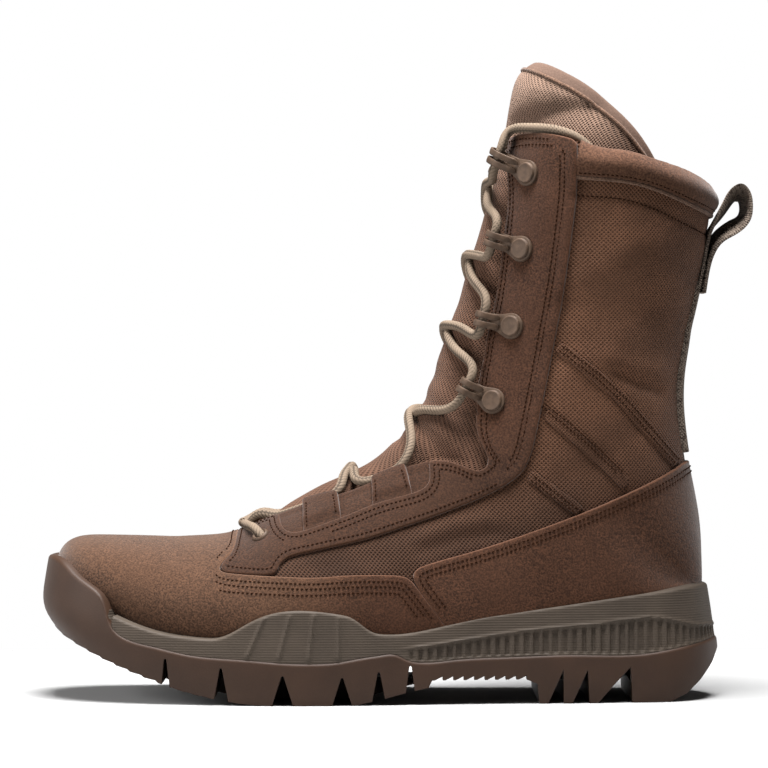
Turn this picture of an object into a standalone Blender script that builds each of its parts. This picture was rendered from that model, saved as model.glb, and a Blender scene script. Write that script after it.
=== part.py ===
"""A left military boot: a nylon and suede upper, laced, on a foam midsole and a rubber outsole.

Tables and functions work in millimetres, with x from the tip of the toe back towards the heel
and z above the floor. The outer side of the foot is at -Y. Meshes are made in metres, with the
origin on the floor under the middle of the boot.
"""
import math

import bmesh
import bpy
import numpy as np

# Driving dimensions, in millimetres.
SOLE_LENGTH = 300.8       # toe bumper to the back of the heel
MIDDLE_X = 158.2          # half of the length with the pull loop
MIDDLE_Y = -1.2           # middle of the sole's width
TOE_SPRING = 34.0         # lift of the tread at the tip of the toe
SPRING_LENGTH = 104.0     # distance from the tip in which the lift runs out
SPRING_POWER = 1.75
GAP = 0.3                 # between pieces that meet
WALL = 2.2                # nylon, foam and lining of the upper
SUEDE = 1.4               # overlay panels
CUFF = 2.6                # padded collar band
WEBBING = 1.2             # back strip
LOOP_THICK = 1.8
LOOP_WIDTH = 20.0
LOOP_STEPS = 20
TONGUE_THICK = 4.0
INSOLE_THICK = 4.0
INSOLE_INSET = 3.0        # from the upper's foot line to the insole's edge
LACE = 4.2                # diameter
OVERLAY_TOP = GAP + SUEDE
CUP = OVERLAY_TOP + GAP   # the sole's pocket is cut this far outside the upper's wall

# The sole from above, a row for each place along it: x, outer edge, inner edge.
SOLE_PLAN = (
    (5, -16, 29),
    (15, -29.4, 39),
    (30, -39, 45.4),
    (50, -46, 49),
    (75, -50.5, 51),
    (95, -53, 51.5),
    (115, -54, 49.5),
    (140, -52.5, 44),
    (165, -49, 38.5),
    (190, -45.5, 36.5),
    (215, -42.5, 37),
    (240, -40.5, 37.5),
    (265, -37, 35.5),
    (280, -33.4, 32.8),
    (292, -23.4, 23.2),
    (298, -11.4, 12),
)
TOE_Y = 8.0
HEEL_Y = 0.5

# The wall of the sole: height above the tread's lift, how far it stands in from the plan.
SOLE_WALL = (
    (-4, 5.5),
    (6, 1.4),
    (16, 0.0),
    (30, 0.8),
    (49, 2.8),
    (60, 4.4),
)
TOE_LEAN = 0.4            # share by which the wall's heights shrink at the tip of the toe
SIDE_UPRIGHT = 0.75       # share of the lean that the wall loses on the two long sides
UPRIGHT_FROM = (30.0, 90.0)
HEEL_LEAN = 0.25          # share of the lean that the wall gains at the back
MIDSOLE_STEP = 0.7        # the midsole stands this far in from the outsole

# The upper, a row for each section. A section is flat and runs, seen from the side, straight
# from the ridge (top or front) to the base (foot line, or back of the shaft). outer and inner
# are the y of its widest points, wrap the angle that it turns through, full its squareness.
SECTION_COLUMNS = ("ridge_x", "ridge_z", "base_x", "base_z", "ridge_y", "outer", "inner", "wrap", "full")
SECTIONS = (
    (8.0, 43.0, 10.0, 38.2, 7.0, -8.6, 22.2, 100, 2.2),
    (7.0, 50.0, 14.0, 36.0, 7.0, -14.6, 26.4, 100, 2.2),
    (7.2, 58.2, 21.0, 33.6, 6.5, -20.4, 31.0, 101, 2.3),
    (10.6, 65.6, 32.0, 31.5, 6.0, -26.6, 35.2, 102, 2.3),
    (18.0, 69.2, 45.0, 29.6, 5.5, -32.6, 39.2, 103, 2.3),
    (30.0, 69.7, 58.0, 28.0, 5.0, -38.0, 42.2, 104, 2.2),
    (46.0, 69.0, 72.0, 26.8, 4.5, -42.6, 44.8, 104, 2.15),
    (66.0, 69.3, 87.0, 26.0, 4.0, -46.4, 46.4, 104, 2.1),
    (86.0, 71.8, 102.0, 25.8, 3.0, -49.0, 46.6, 104, 2.05),
    (104.0, 82.0, 122.0, 26.0, 2.0, -50.0, 44.0, 104, 2.0),
    (126.0, 92.0, 147.0, 27.0, 1.0, -48.0, 38.5, 104, 2.0),
    (146.0, 100.5, 172.0, 29.0, 0.5, -45.0, 35.0, 105, 2.0),
    (158.0, 109.0, 198.0, 33.0, 0.0, -42.5, 35.0, 107, 2.0),
    (166.0, 117.5, 224.0, 37.0, 0.0, -40.0, 36.0, 112, 2.0),
    (172.0, 127.0, 252.0, 41.0, 0.0, -38.5, 36.3, 119, 2.0),
    (177.0, 137.0, 276.0, 45.0, 0.0, -37.5, 36.3, 133, 2.0),
    (181.0, 147.0, 290.0, 48.5, 0.0, -37.0, 36.3, 159, 2.0),
    (184.5, 157.0, 292.0, 51.5, 0.0, -36.5, 36.0, 180, 2.0),
    (188.0, 168.0, 291.4, 74.0, 0.0, -36.5, 36.0, 180, 2.0),
    (191.5, 181.0, 287.2, 99.0, 0.0, -37.0, 36.5, 180, 2.0),
    (195.0, 194.0, 283.2, 125.0, 0.0, -38.0, 37.5, 180, 2.0),
    (198.5, 209.5, 285.0, 150.0, 0.0, -40.0, 39.5, 180, 2.0),
    (202.0, 228.0, 290.5, 177.0, 0.0, -42.5, 42.0, 180, 2.05),
    (204.0, 239.0, 295.5, 202.0, 0.0, -44.0, 43.5, 180, 2.1),
    (205.5, 248.0, 298.0, 224.0, 0.0, -45.0, 44.5, 180, 2.1),
    (208.0, 264.0, 300.0, 245.0, 0.0, -42.0, 41.5, 180, 2.1),
    (212.4, 277.0, 303.0, 265.0, 0.0, -35.5, 35.0, 180, 2.1),
    (223.0, 284.0, 306.0, 285.0, 0.0, -30.0, 29.5, 180, 2.1),
)
FIRST_BACK_ROW = 17       # from this section on the base is the back of the shaft
THROAT_ROW = 8            # the throat opens at this section

# Outlines seen from the side, as x and z.
THROAT_EDGE = (
    (86.2, 71.9), (89, 73.0), (94.5, 75.2), (101, 78.2), (109, 81.4), (117, 84.5), (133, 89.2),
    (146, 94.0), (160, 100.5), (169, 103.4), (177.5, 104.6), (184, 103.5), (190, 101.3),
    (194.4, 100.6), (197, 102.3), (197.8, 105), (196, 110), (193.5, 116.5), (192.8, 122.6),
    (196, 139), (199, 160), (203, 182), (206.4, 206), (207.7, 222), (207.2, 240), (207.6, 250),
)
COLLAR_EDGE = (
    (204.5, 244.0), (208.0, 246.5), (213, 247.7), (223, 247.4), (236, 243.6), (243, 240.5),
    (257, 238.4), (269.5, 235), (281, 231.8), (291, 228), (298.0, 224),
)
TONGUE_TOP = (
    (220.5, 282.6), (224, 280.8), (230.6, 276.6), (239.5, 270.4),
    (249, 262.8), (259.6, 252.6), (270, 240.4), (277.5, 231),
)
VAMP = (
    (-10, 90), (86.5, 90), (87, 73.5), (87.5, 66), (80.6, 59.4), (80.2, 56.8), (83.5, 54.8),
    (107, 54.2), (121, 53.8), (136, 55), (157.5, 55.2), (163, 53.8), (166.2, 49.5),
    (171.4, 42.9), (180, 31), (182, 20), (-10, 20),
)
COUNTER = (
    (164.6, 56.4), (170, 59.6), (198, 67), (236, 80.6), (257, 89.6), (276, 98.5), (286, 104.5),
    (305, 107), (305, 20), (183.2, 20), (181.2, 31.5), (172.2, 43.6), (167, 50.2),
)
EYESTAY = (
    (88.2, 95), (88.6, 66), (82.0, 59.2), (81.8, 57.4), (84, 56), (105.5, 55.4), (106.4, 59.4),
    (109.5, 62.6), (113.5, 64.4), (127.6, 67.5), (145, 71.2), (177, 82), (198, 90.6), (210.5, 98),
    (215.7, 106), (220, 125), (225, 151), (230, 178), (234, 207), (235.8, 225), (235.6, 260),
    (195, 260), (150, 150),
)
LACE_WINDOW = (
    (106, 90), (106.6, 78.5), (108.6, 74.4), (112.5, 72.6), (120, 74.6), (134, 79.6), (147, 85.2),
    (160.5, 89.2), (168.5, 91.6), (172, 94.6), (172.6, 99), (171.5, 110), (150, 120),
)
CUFF_BAND = (
    (236.8, 228.4), (251, 227.2), (265, 224.8), (276, 221), (287, 216.6), (305, 211.5),
    (305, 260), (236.8, 260),
)
LACE_KEEPERS = (
    ((117.5, 92), (117.2, 73.6), (134, 79.2), (131.5, 96)),
    ((148, 104), (147.2, 84.6), (165, 91.2), (161, 108)),
)
KEEPER_LIFT = CUP - GAP   # the keepers lie over the eyestay
BACK_STRIP_HALF = 10.0
BACK_STRIP_Z = (108.0, 176.0)

# The sole seen from the side.
OUTSOLE_TOP = (
    (3.0, 62.6), (6.4, 61.6), (14.5, 56), (22.5, 51), (28.5, 46.4), (31.2, 40), (33.5, 33.6),
    (38, 29.5), (51, 25.5), (69, 21.7), (91, 20), (109, 18.6), (121, 18.3), (133, 19),
    (142.5, 20.7), (151, 21.9), (157, 22.2), (162.5, 19.6), (166, 18.8), (183, 19.6), (205, 20.5),
    (236, 21.3), (266, 21.5), (276, 23), (288, 25), (304, 27.6),
)
MIDSOLE_TOP = (
    (32.6, 38.4), (45, 33.7), (57, 30.6), (72, 28.8), (80.6, 29), (85, 30.6), (91, 34),
    (100, 38.4), (133, 39.3), (138, 38), (142.5, 35), (148.5, 31.2), (153, 30.5), (168, 31.7),
    (189, 36.4), (205, 39), (236, 43), (258, 45.2), (277, 49.6), (286, 51.2), (304, 50.4),
)
RIB_BAND_TOP = (
    (150, 22.8), (183, 27.4), (216, 32), (252, 35.5), (270, 37), (288, 33.7), (304, 32.2),
)
RIB_START = 166.0
RIB_PITCH = 4.2
RIB_WIDTH = 2.2
RIB_RISE = 0.7
RIB_ROOT = 1.2            # how deep a rib is set into the wall
RIB_TAPER = 0.55          # width of a rib's top, as a share of its foot's
RIB_CLEAR = 0.9           # from the ends of the ribs to the edges of the midsole
# Ribs of the forefoot bump: x and z of the top, x and z of the foot.
BUMP_RIBS = (
    (100.5, 38.0, 93.5, 21.5),
    (111.6, 38.3, 107, 21),
    (122, 38.6, 120, 20.4),
    (133, 38.8, 132.6, 20.6),
)

ARCH = (173.0, 214.0)     # from and to, along the sole
ARCH_Z = 10.6
ARCH_TEETH = 9
TOOTH_DEPTH = 1.7
# Notches in the sole's side: apex x and z, half width on the floor.
NOTCHES = (
    (57.8, 20.0, 2.4),
    (82.0, 16.2, 3.2),
    (108.6, 13.0, 4.4),
    (134.2, 12.2, 4.2),
    (150.0, 14.5, 3.0),
    (163.6, 17.0, 2.4),
)
NOTCH_REACH = 15.0        # the notches stop this far from the middle line
HEEL_LUGS = (219.6, 230.2, 241.4)
LUG_FLAT = 3.8
LUG_TOP = 14.6
LUG_NEXT = 10.4
HEEL_BLOCK = (259.4, 277.0)
LUG_RAMP = (6.5, 7.5)     # slope behind the last lug: run and rise
# The tread between the arch and the flat ball of the foot.
BALL_BACK = ((171.5, 7.4), (162, 5.4), (150, 2.2), (139, 0.0))
SPRING_STEPS = 9
TOE_PAST = (-4.0, 58.0)   # a point in front of the toe, which closes the outline
HEEL_BACK = ((284.6, 3.4), (291, 9), (297, 16), (301.5, 24), (304, 27))

# Hooks: rivet x and z on the side, tilt of the hook's nose above the level in degrees.
HOOKS = (
    (202.2, 129.8, 27),
    (208.8, 163.6, 13),
    (213.2, 197.4, 16),
    (216.0, 230.4, 20),
)
HOOK_PLATE_R = 6.0
HOOK_PLATE_T = 1.0
RIVET_R = 4.6
RIVET_H = 2.4
HOOK_WIDTH = 7.4
HOOK_NECK = 8.0           # from the rivet to where the hook's nose starts
HOOK_NOSE = 17.5          # from the rivet to the front of the nose
HOOK_BITE = 5.0           # clear height for the lace in the nose
EYELET = (99.0, 71.0)
EYELET_R = (2.1, 3.9)

# Where the lace leaves the eyelets and keepers on their lower and upper side, seen from the side.
LACE_HOLDERS = (
    (96.5, 74.0, 101.5, 79.6),
    (115.5, 84.6, 134.0, 90.2),
    (146.0, 94.4, 163.0, 102.6),
)
LACE_FOOT = 8.15          # section row in which the lowest strand crosses the ridge
HOOK_LACE = 13.4          # from the rivet to the middle of the lace in the hook's nose
HOOK_LACE_SIDE = 6.4      # from the middle of the nose to the end of a strand
LACE_CLEAR = 1.0          # between the lace and what it lies over
LACE_STEPS = 9
LACE_SIDES = 6

PULL_LOOP = (
    (298.4, 206.5), (301.6, 213), (305, 221), (307.6, 226), (311.2, 227.6), (314.6, 225), (315.7, 218),
    (314.2, 211.5), (309.5, 205.5), (303, 201), (297.8, 195), (295.0, 188), (293.4, 181.5), (293.2, 178.8),
)

# How far the loop's outer edge leans in towards the loop's middle: share of the way along, lean.
LOOP_LEAN = ((0.0, 0.0), (0.25, 0.0), (0.42, 1.8), (0.55, 2.8), (0.75, 3.2), (0.9, 0.6), (1.0, 0.0))

# Materials: name, colour, roughness, metallic.
MATERIALS = (
    ("brown_rubber", (0.075, 0.048, 0.036), 0.75, 0.0),
    ("taupe_foam", (0.095, 0.077, 0.062), 0.7, 0.0),
    ("nylon", (0.105, 0.058, 0.037), 0.8, 0.0),
    ("suede", (0.125, 0.068, 0.044), 0.95, 0.0),
    ("webbing", (0.25, 0.2, 0.16), 0.9, 0.0),
    ("lace", (0.38, 0.31, 0.25), 0.85, 0.0),
    ("hook_metal", (0.2, 0.125, 0.09), 0.4, 0.6),
)


def clear_scene():
    """Remove what the scene starts with."""
    for item in list(bpy.data.objects):
        bpy.data.objects.remove(item, do_unlink=True)


def make_materials():
    """One Principled material for each row of the table."""
    made = {}
    for name, colour, roughness, metallic in MATERIALS:
        material = bpy.data.materials.new(name)
        material.use_nodes = True
        shader = material.node_tree.nodes["Principled BSDF"]
        shader.inputs["Base Color"].default_value = (*colour, 1.0)
        shader.inputs["Roughness"].default_value = roughness
        shader.inputs["Metallic"].default_value = metallic
        made[name] = material
    return made


def spline_slopes(knots, values, closed):
    """Second derivatives of the cubic spline through the values at the knots."""
    count = len(knots) - 1 if closed else len(knots)
    step = np.diff(knots)
    matrix = np.zeros((count, count))
    target = np.zeros((count, values.shape[1]))
    for i in range(count):
        if not closed and i in (0, count - 1):
            matrix[i, i] = 1.0
            continue
        before = step[i - 1]
        after = step[i % len(step)]
        ahead = (i + 1) % count
        matrix[i, i - 1] += before
        matrix[i, i] += 2 * (before + after)
        matrix[i, ahead] += after
        target[i] = 6 * ((values[ahead] - values[i]) / after - (values[i] - values[i - 1]) / before)
    bends = np.linalg.solve(matrix, target)
    return np.vstack([bends, bends[:1]]) if closed else bends


class Curve:
    """A smooth curve through rows of numbers, read at a place along its knots."""

    def __init__(self, rows, closed=False, by_length=True):
        values = np.array(rows, float)
        if closed:
            values = np.vstack([values, values[:1]])
        lengths = np.linalg.norm(np.diff(values, axis=0), axis=1) if by_length else np.ones(len(values) - 1)
        self.knots = np.concatenate([[0.0], np.cumsum(lengths)])
        self.values = values
        self.bends = spline_slopes(self.knots, values[:-1] if closed else values, closed)
        self.end = self.knots[-1]

    def at(self, place):
        place = np.asarray(place, float)
        i = np.clip(np.searchsorted(self.knots, place, side="right") - 1, 0, len(self.knots) - 2)
        step = (self.knots[i + 1] - self.knots[i])[..., None]
        b = (place - self.knots[i])[..., None] / step
        a = 1 - b
        line = a * self.values[i] + b * self.values[i + 1]
        curve = (a**3 - a) * self.bends[i] + (b**3 - b) * self.bends[i + 1]
        return line + curve * step**2 / 6


SECTION_CURVE = Curve(SECTIONS, by_length=False)
LAST_ROW = len(SECTIONS) - 1


def section(u):
    """The columns of the section table at u, by name."""
    values = SECTION_CURVE.at(np.clip(u, 0, LAST_ROW))
    found = {name: values[..., i] for i, name in enumerate(SECTION_COLUMNS)}
    found["wrap"] = np.where(u >= FIRST_BACK_ROW, 180.0, np.minimum(found["wrap"], 180.0))
    return found


def signed_power(value, power):
    return np.sign(value) * np.abs(value) ** power


def surface_point(u, v, side):
    """A point of the upper's outer wall: v is 0 on the ridge and 1 at the base."""
    row = section(u)
    angle = np.radians(row["wrap"])
    power = 2 / row["full"]
    run = 1 - signed_power(np.cos(v * angle), power)
    share = run / (1 - signed_power(np.cos(angle), power))
    reach = np.where(np.asarray(side) < 0, row["outer"], row["inner"]) - row["ridge_y"]
    x = row["ridge_x"] + (row["base_x"] - row["ridge_x"]) * share
    y = row["ridge_y"] + reach * np.abs(np.sin(v * angle)) ** power
    z = row["ridge_z"] + (row["base_z"] - row["ridge_z"]) * share
    return np.stack([x, y, z], axis=-1)


def side_normal(u, v, side):
    """The outward normal of one half of the upper's outer wall."""
    small = 0.004
    v_in = np.clip(v, 2 * small, 1 - 2 * small)
    u_in = np.clip(u, small, LAST_ROW - small)
    along = surface_point(u_in + small, v_in, side) - surface_point(u_in - small, v_in, side)
    around = surface_point(u_in, v_in + small, side) - surface_point(u_in, v_in - small, side)
    normal = np.cross(around, along) * -np.asarray(side)[..., None]
    return normal / np.linalg.norm(normal, axis=-1, keepdims=True)


def surface_normal(u, v, side):
    """The outward normal of the upper's outer wall, the same for both halves where they join."""
    joined = side_normal(u, v, np.float64(-1.0)) + side_normal(u, v, np.float64(1.0))
    joined = joined * (1.0, 0.0, 1.0)
    joined /= np.linalg.norm(joined, axis=-1, keepdims=True)
    on_seam = (v <= 0) | ((v >= 1) & (u >= FIRST_BACK_ROW))
    return np.where(np.asarray(on_seam)[..., None], joined, side_normal(u, v, side))


def wall_point(u, v, side, offset):
    """A point that stands off the upper's outer wall."""
    u, v, side, offset = np.broadcast_arrays(np.asarray(u, float), v, side, offset)
    return surface_point(u, v, side) + surface_normal(u, v, side) * offset[..., None]


FINE_U = np.linspace(0, LAST_ROW, 2801)
FINE_ROWS = section(FINE_U)


def locate(x, z):
    """The u and v of the upper's wall behind a point seen from the side."""
    ridge_x, ridge_z = FINE_ROWS["ridge_x"], FINE_ROWS["ridge_z"]
    run_x = FINE_ROWS["base_x"] - ridge_x
    run_z = FINE_ROWS["base_z"] - ridge_z
    across = run_x * (z - ridge_z) - run_z * (x - ridge_x)
    flips = np.nonzero(np.diff(np.sign(across)))[0]
    share = ((x - ridge_x) * run_x + (z - ridge_z) * run_z) / (run_x**2 + run_z**2)
    i = min(flips, key=lambda k: abs(share[k] - 0.5)) if len(flips) else int(np.argmin(np.abs(across)))
    u = FINE_U[i]
    row = section(u)
    angle = math.radians(row["wrap"])
    power = 2 / row["full"]
    rest = 1 - np.clip(share[i], 0, 1) * (1 - signed_power(np.cos(angle), power))
    turn = math.acos(float(np.clip(signed_power(rest, 1 / power), -1, 1)))
    return float(u), min(turn / angle, 1.0)


def edge_table(points, key):
    """An edge drawn from the side as u and v pairs, sorted by u (key 0) or by v (key 1)."""
    places = np.linspace(0, 1, 160)
    curve = Curve(points)
    pairs = np.array([locate(*curve.at(p * curve.end)) for p in places])
    return pairs[np.argsort(pairs[:, key])]


THROAT_UV = edge_table(THROAT_EDGE, 0)
COLLAR_UV = edge_table(COLLAR_EDGE, 1)
TONGUE_UV = edge_table(TONGUE_TOP, 1)


def throat_v(u):
    """Where the wall starts at the throat."""
    return np.interp(u, THROAT_UV[:, 0], THROAT_UV[:, 1], left=0.0)


def top_u(v, table):
    return np.interp(v, table[:, 1], table[:, 0])


# Sections that the upper's mesh has: closer at the toe, the throat's foot and the ankle notch.
UPPER_ROWS = np.concatenate([
    [0, 0.6, 1.3, 2, 3, 4, 5, 6, 7, 8, 8.3, 8.7, 9.4, 10.2, 11, 12],
    [12.7, 13.2, 13.6, 14.0, 14.4, 15, 16, 17, 18, 19, 20, 21, 22, 23, 24],
])
UPPER_COLUMNS = 8
COLLAR_BLEND_ROW = 20.0


def upper_grid(side, offset):
    """Points of one half of the upper, a row for each section, from ridge or throat to base."""
    u = np.repeat(UPPER_ROWS[:, None], UPPER_COLUMNS, axis=1)
    start = throat_v(u)
    v = start + (1 - start) * np.linspace(0, 1, UPPER_COLUMNS)[None, :]
    blend = np.clip((u - COLLAR_BLEND_ROW) / (UPPER_ROWS[-1] - COLLAR_BLEND_ROW), 0, 1)
    u = u + blend * (top_u(v, COLLAR_UV) - UPPER_ROWS[-1])
    return wall_point(u, v, side, offset)


def to_metres(points):
    shifted = np.asarray(points, float) - (MIDDLE_X, MIDDLE_Y, 0.0)
    return shifted * 0.001


def new_object(name, points, faces, material):
    """A mesh object from points in millimetres, with doubled points joined."""
    mesh = bpy.data.meshes.new(name)
    shape = bmesh.new()
    corners = [shape.verts.new(p) for p in to_metres(points)]
    for face in faces:
        shape.faces.new([corners[i] for i in face])
    bmesh.ops.remove_doubles(shape, verts=shape.verts, dist=0.00001)
    bmesh.ops.recalc_face_normals(shape, faces=shape.faces)
    shape.to_mesh(mesh)
    shape.free()
    item = bpy.data.objects.new(name, mesh)
    bpy.context.collection.objects.link(item)
    if material:
        mesh.materials.append(material)
    return item


def hide(item):
    """Mark a cutter, which is no piece of the boot."""
    item.hide_render = True
    item.display_type = "WIRE"
    return item


def smooth(item, angle=35):
    item.data.shade_smooth()
    item.data.set_sharp_from_angle(angle=math.radians(angle))


def boolean(item, cutter, operation):
    change = item.modifiers.new(cutter.name, "BOOLEAN")
    change.operation = operation
    change.solver = "EXACT"
    change.object = cutter


def grid_faces(rows, columns, first, flip):
    """Triangles of a grid of points whose first point has the given number."""
    faces = []
    for i in range(rows - 1):
        for j in range(columns - 1):
            a = first + i * columns + j
            halves = ((a, a + 1, a + columns + 1), (a, a + columns + 1, a + columns))
            faces += [half[::-1] if flip else half for half in halves]
    return faces


def shell(name, low, high, faces, material):
    """A closed wall between two sheets of points with the same faces, and a rim round its edges."""
    low = np.concatenate([half.reshape(-1, 3) for half in low])
    high = np.concatenate([half.reshape(-1, 3) for half in high])
    count = len(low)
    first_at = {}
    same = [first_at.setdefault(tuple(spot), i) for i, spot in enumerate(np.round(low, 3).tolist())]
    edges = {}
    for face in faces:
        for one, other in zip(face, face[1:] + face[:1]):
            key = frozenset((same[one], same[other]))
            edges[key] = None if key in edges else (one, other)
    rim = [(b, a, a + count, b + count) for a, b in filter(None, edges.values())]
    rim = [quad for quad in rim if same[quad[0]] != same[quad[1]]]
    body = [face[::-1] for face in faces] + [tuple(i + count for i in face) for face in faces] + rim
    return new_object(name, np.concatenate([low, high]), body, material)


def upper_shell(name, low, high, material):
    """Both halves of the upper's surface, from one offset to another."""
    inside, outside = ([upper_grid(side, offset) for side in (-1.0, 1.0)] for offset in (low, high))
    rows, columns = inside[0].shape[:2]
    faces = grid_faces(rows, columns, 0, False) + grid_faces(rows, columns, rows * columns, True)
    return shell(name, inside, outside, faces, material)


def prism(name, outline, low_y, high_y):
    """An outline seen from the side, drawn out across the boot, as a cutter."""
    count = len(outline)
    points = [(x, y, z) for y in (low_y, high_y) for x, z in outline]
    faces = [tuple(range(count)), tuple(range(2 * count - 1, count - 1, -1))]
    for i in range(count):
        j = (i + 1) % count
        faces.append((i, i + count, j + count, j))
    return hide(new_object(name, points, faces, None))


ACROSS = 90.0
SIDES = (("lateral", -ACROSS, -0.4), ("medial", 0.4, ACROSS))


def overlay(name, outline, thickness, low_y, high_y, materials, lift=0.0, window=None):
    """A panel on the upper: a shell of its own surface, cut by an outline from the side."""
    panel = upper_shell(name, GAP + lift, GAP + lift + thickness, materials["suede"])
    boolean(panel, prism(name + "_outline", outline, low_y, high_y), "INTERSECT")
    if window:
        boolean(panel, prism(name + "_window", window, low_y, high_y), "DIFFERENCE")
    smooth(panel)
    return panel


PLAN_POINTS = (
    [(0.0, TOE_Y)]
    + [(x, outer) for x, outer, inner in SOLE_PLAN]
    + [(SOLE_LENGTH, HEEL_Y)]
    + [(x, inner) for x, outer, inner in SOLE_PLAN[::-1]]
)
PLAN = Curve(PLAN_POINTS, closed=True)
HEEL_KNOT = PLAN.knots[len(SOLE_PLAN) + 1]
PLAN_STATIONS = 26


def plan_places(stations):
    """Places round the plan: toe to heel on the outer side, then back on the inner side."""
    out = np.linspace(0, HEEL_KNOT, stations + 1)
    back = np.linspace(HEEL_KNOT, PLAN.end, stations + 1)
    return np.concatenate([out, back[1:-1]])


def plan_frame(places):
    """Points of the plan and the outward normals there."""
    points = PLAN.at(places)
    ahead = PLAN.at((places + 0.5) % PLAN.end) - PLAN.at((places - 0.5) % PLAN.end)
    normals = np.stack([-ahead[..., 1], ahead[..., 0]], axis=-1)
    return points, -normals / np.linalg.norm(normals, axis=-1, keepdims=True) * plan_turn()


def plan_turn():
    """Plus one or minus one, so that normals of the plan point out."""
    ring = PLAN.at(np.linspace(0, PLAN.end, 60, endpoint=False))
    ahead = np.roll(ring, -1, axis=0)
    area = np.sum(ring[:, 0] * ahead[:, 1] - ring[:, 1] * ahead[:, 0])
    return float(np.sign(area))


def tread_lift(x):
    """How far the toe spring lifts the tread at x."""
    return TOE_SPRING * np.clip(1 - np.asarray(x) / SPRING_LENGTH, 0, 1.05) ** SPRING_POWER


def wall_heights(x, height):
    lift = tread_lift(x)
    return lift + height * (1 - TOE_LEAN * lift / TOE_SPRING)


def wall_inset(points, normals, lean):
    """How far the wall stands in from the plan: less on the two long sides, more at the back."""
    share = np.interp(points[:, 0], UPRIGHT_FROM, (0.0, SIDE_UPRIGHT))
    return lean * (1 - share * np.abs(normals[:, 1]) + HEEL_LEAN * np.maximum(normals[:, 0], 0.0))


def wall_ring(places, step, lean, height):
    """A ring round the sole's wall, a step in from the plan and leaning in."""
    points, normals = plan_frame(places)
    moved = points - normals * (step + wall_inset(points, normals, lean))[:, None]
    return np.column_stack([moved, wall_heights(moved[:, 0], height)])


def ring_solid(name, rings, material):
    """A closed body through a stack of rings, closed with strips from side to side."""
    count = len(rings[0])
    points = np.concatenate(rings)
    faces = []
    for level in range(len(rings) - 1):
        for i in range(count):
            j = (i + 1) % count
            low = level * count
            faces.append((low + i, low + j, low + count + j, low + count + i))
    for first in (0, (len(rings) - 1) * count):
        for i in range(count // 2):
            strip = [i, i + 1, count - i - 1, (count - i) % count]
            faces.append([first + k for k in dict.fromkeys(strip)])
    return new_object(name, points, faces, material)


def sole_block(name, step, material):
    """The outer form of the sole, from under the tread to above the midsole."""
    places = plan_places(PLAN_STATIONS)
    return ring_solid(name, [wall_ring(places, step, lean, height) for height, lean in SOLE_WALL], material)


def last_form():
    """The closed form that the sole's pocket is cut with: the upper, its panels and a gap."""
    halves = [upper_grid(side, CUP) for side in (-1.0, 1.0)]
    for half in halves:
        half[UPPER_ROWS < FIRST_BACK_ROW, -1, 2] -= GAP
    rows, count = halves[0].shape[:2]
    second = rows * count
    points = np.concatenate([half.reshape(-1, 3) for half in halves])
    faces = grid_faces(rows, count, 0, False) + grid_faces(rows, count, second, True)
    for i in range(rows - 1):
        throat = i * count
        base = throat + count - 1
        if UPPER_ROWS[i] >= THROAT_ROW:
            faces.append((throat, throat + count, second + throat + count, second + throat))
        if UPPER_ROWS[i] < FIRST_BACK_ROW:
            faces.append((base, base + count, second + base + count, second + base))
    for end in (0, (rows - 1) * count):
        for j in range(end, end + count - 1):
            faces.append((j, j + 1, second + j + 1, second + j))
    return hide(new_object("last_form", points, faces, None))


def tread_outline():
    """The outsole from the side: its top line, then back along the tread from heel to toe."""
    top = list(OUTSOLE_TOP)
    tread = list(HEEL_BACK[::-1])
    tread.append((HEEL_BLOCK[1], 0.0))
    tread += [(HEEL_BLOCK[0] + 0.8, 0.0), (HEEL_BLOCK[0], LUG_TOP + 1)]
    for front in HEEL_LUGS[::-1]:
        last = front == HEEL_LUGS[-1]
        reach = HEEL_BLOCK[0] - front - 1.0 if last else LUG_NEXT
        tread.append((front + reach, LUG_TOP))
        if last:
            tread.append((front + LUG_FLAT + LUG_RAMP[0], LUG_RAMP[1]))
        tread += [(front + LUG_FLAT, 0.0), (front, 0.0)]
    tread.append((HEEL_LUGS[0] - 0.8, ARCH_Z - 2.0))
    pitch = (ARCH[1] - ARCH[0]) / ARCH_TEETH
    for tooth in range(ARCH_TEETH):
        x = ARCH[1] - tooth * pitch
        tread += [(x, ARCH_Z + TOOTH_DEPTH), (x - pitch * 0.75, ARCH_Z)]
    tread += [(ARCH[0], ARCH_Z), *BALL_BACK]
    for x in np.linspace(SPRING_LENGTH, TOE_PAST[0], SPRING_STEPS):
        tread.append((float(x), float(tread_lift(x))))
    return top + tread + [TOE_PAST]


def notch_cutter():
    """V notches in both sides of the sole, stopping short of its middle line."""
    points = []
    faces = []
    for x, z, half in NOTCHES:
        for low_y, high_y in ((-ACROSS, -NOTCH_REACH), (NOTCH_REACH, ACROSS)):
            first = len(points)
            profile = ((x - half * 1.25, -3.0), (x + half * 1.25, -3.0), (x + 0.35, z), (x - 0.35, z))
            points += [(px, y, pz) for y in (low_y, high_y) for px, pz in profile]
            faces += [
                (first, first + 1, first + 2, first + 3),
                (first + 7, first + 6, first + 5, first + 4),
            ]
            for i in range(4):
                j = (i + 1) % 4
                faces.append((first + i, first + 4 + i, first + 4 + j, first + j))
    return hide(new_object("notches", points, faces, None))


def make_outsole(materials, pocket):
    outsole = sole_block("outsole", 0.0, materials["brown_rubber"])
    boolean(outsole, prism("tread_outline", tread_outline(), -ACROSS, ACROSS), "INTERSECT")
    boolean(outsole, notch_cutter(), "DIFFERENCE")
    boolean(outsole, pocket, "DIFFERENCE")
    smooth(outsole, 30)


def midsole_wall(place, z):
    """The x and y of the midsole's wall at a place round the plan and a height."""
    point, normal = plan_frame(np.array([place]))
    lean = np.interp(z, *zip(*SOLE_WALL))
    return point[0] - normal[0] * (MIDSOLE_STEP + wall_inset(point, normal, lean)), normal[0]


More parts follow.
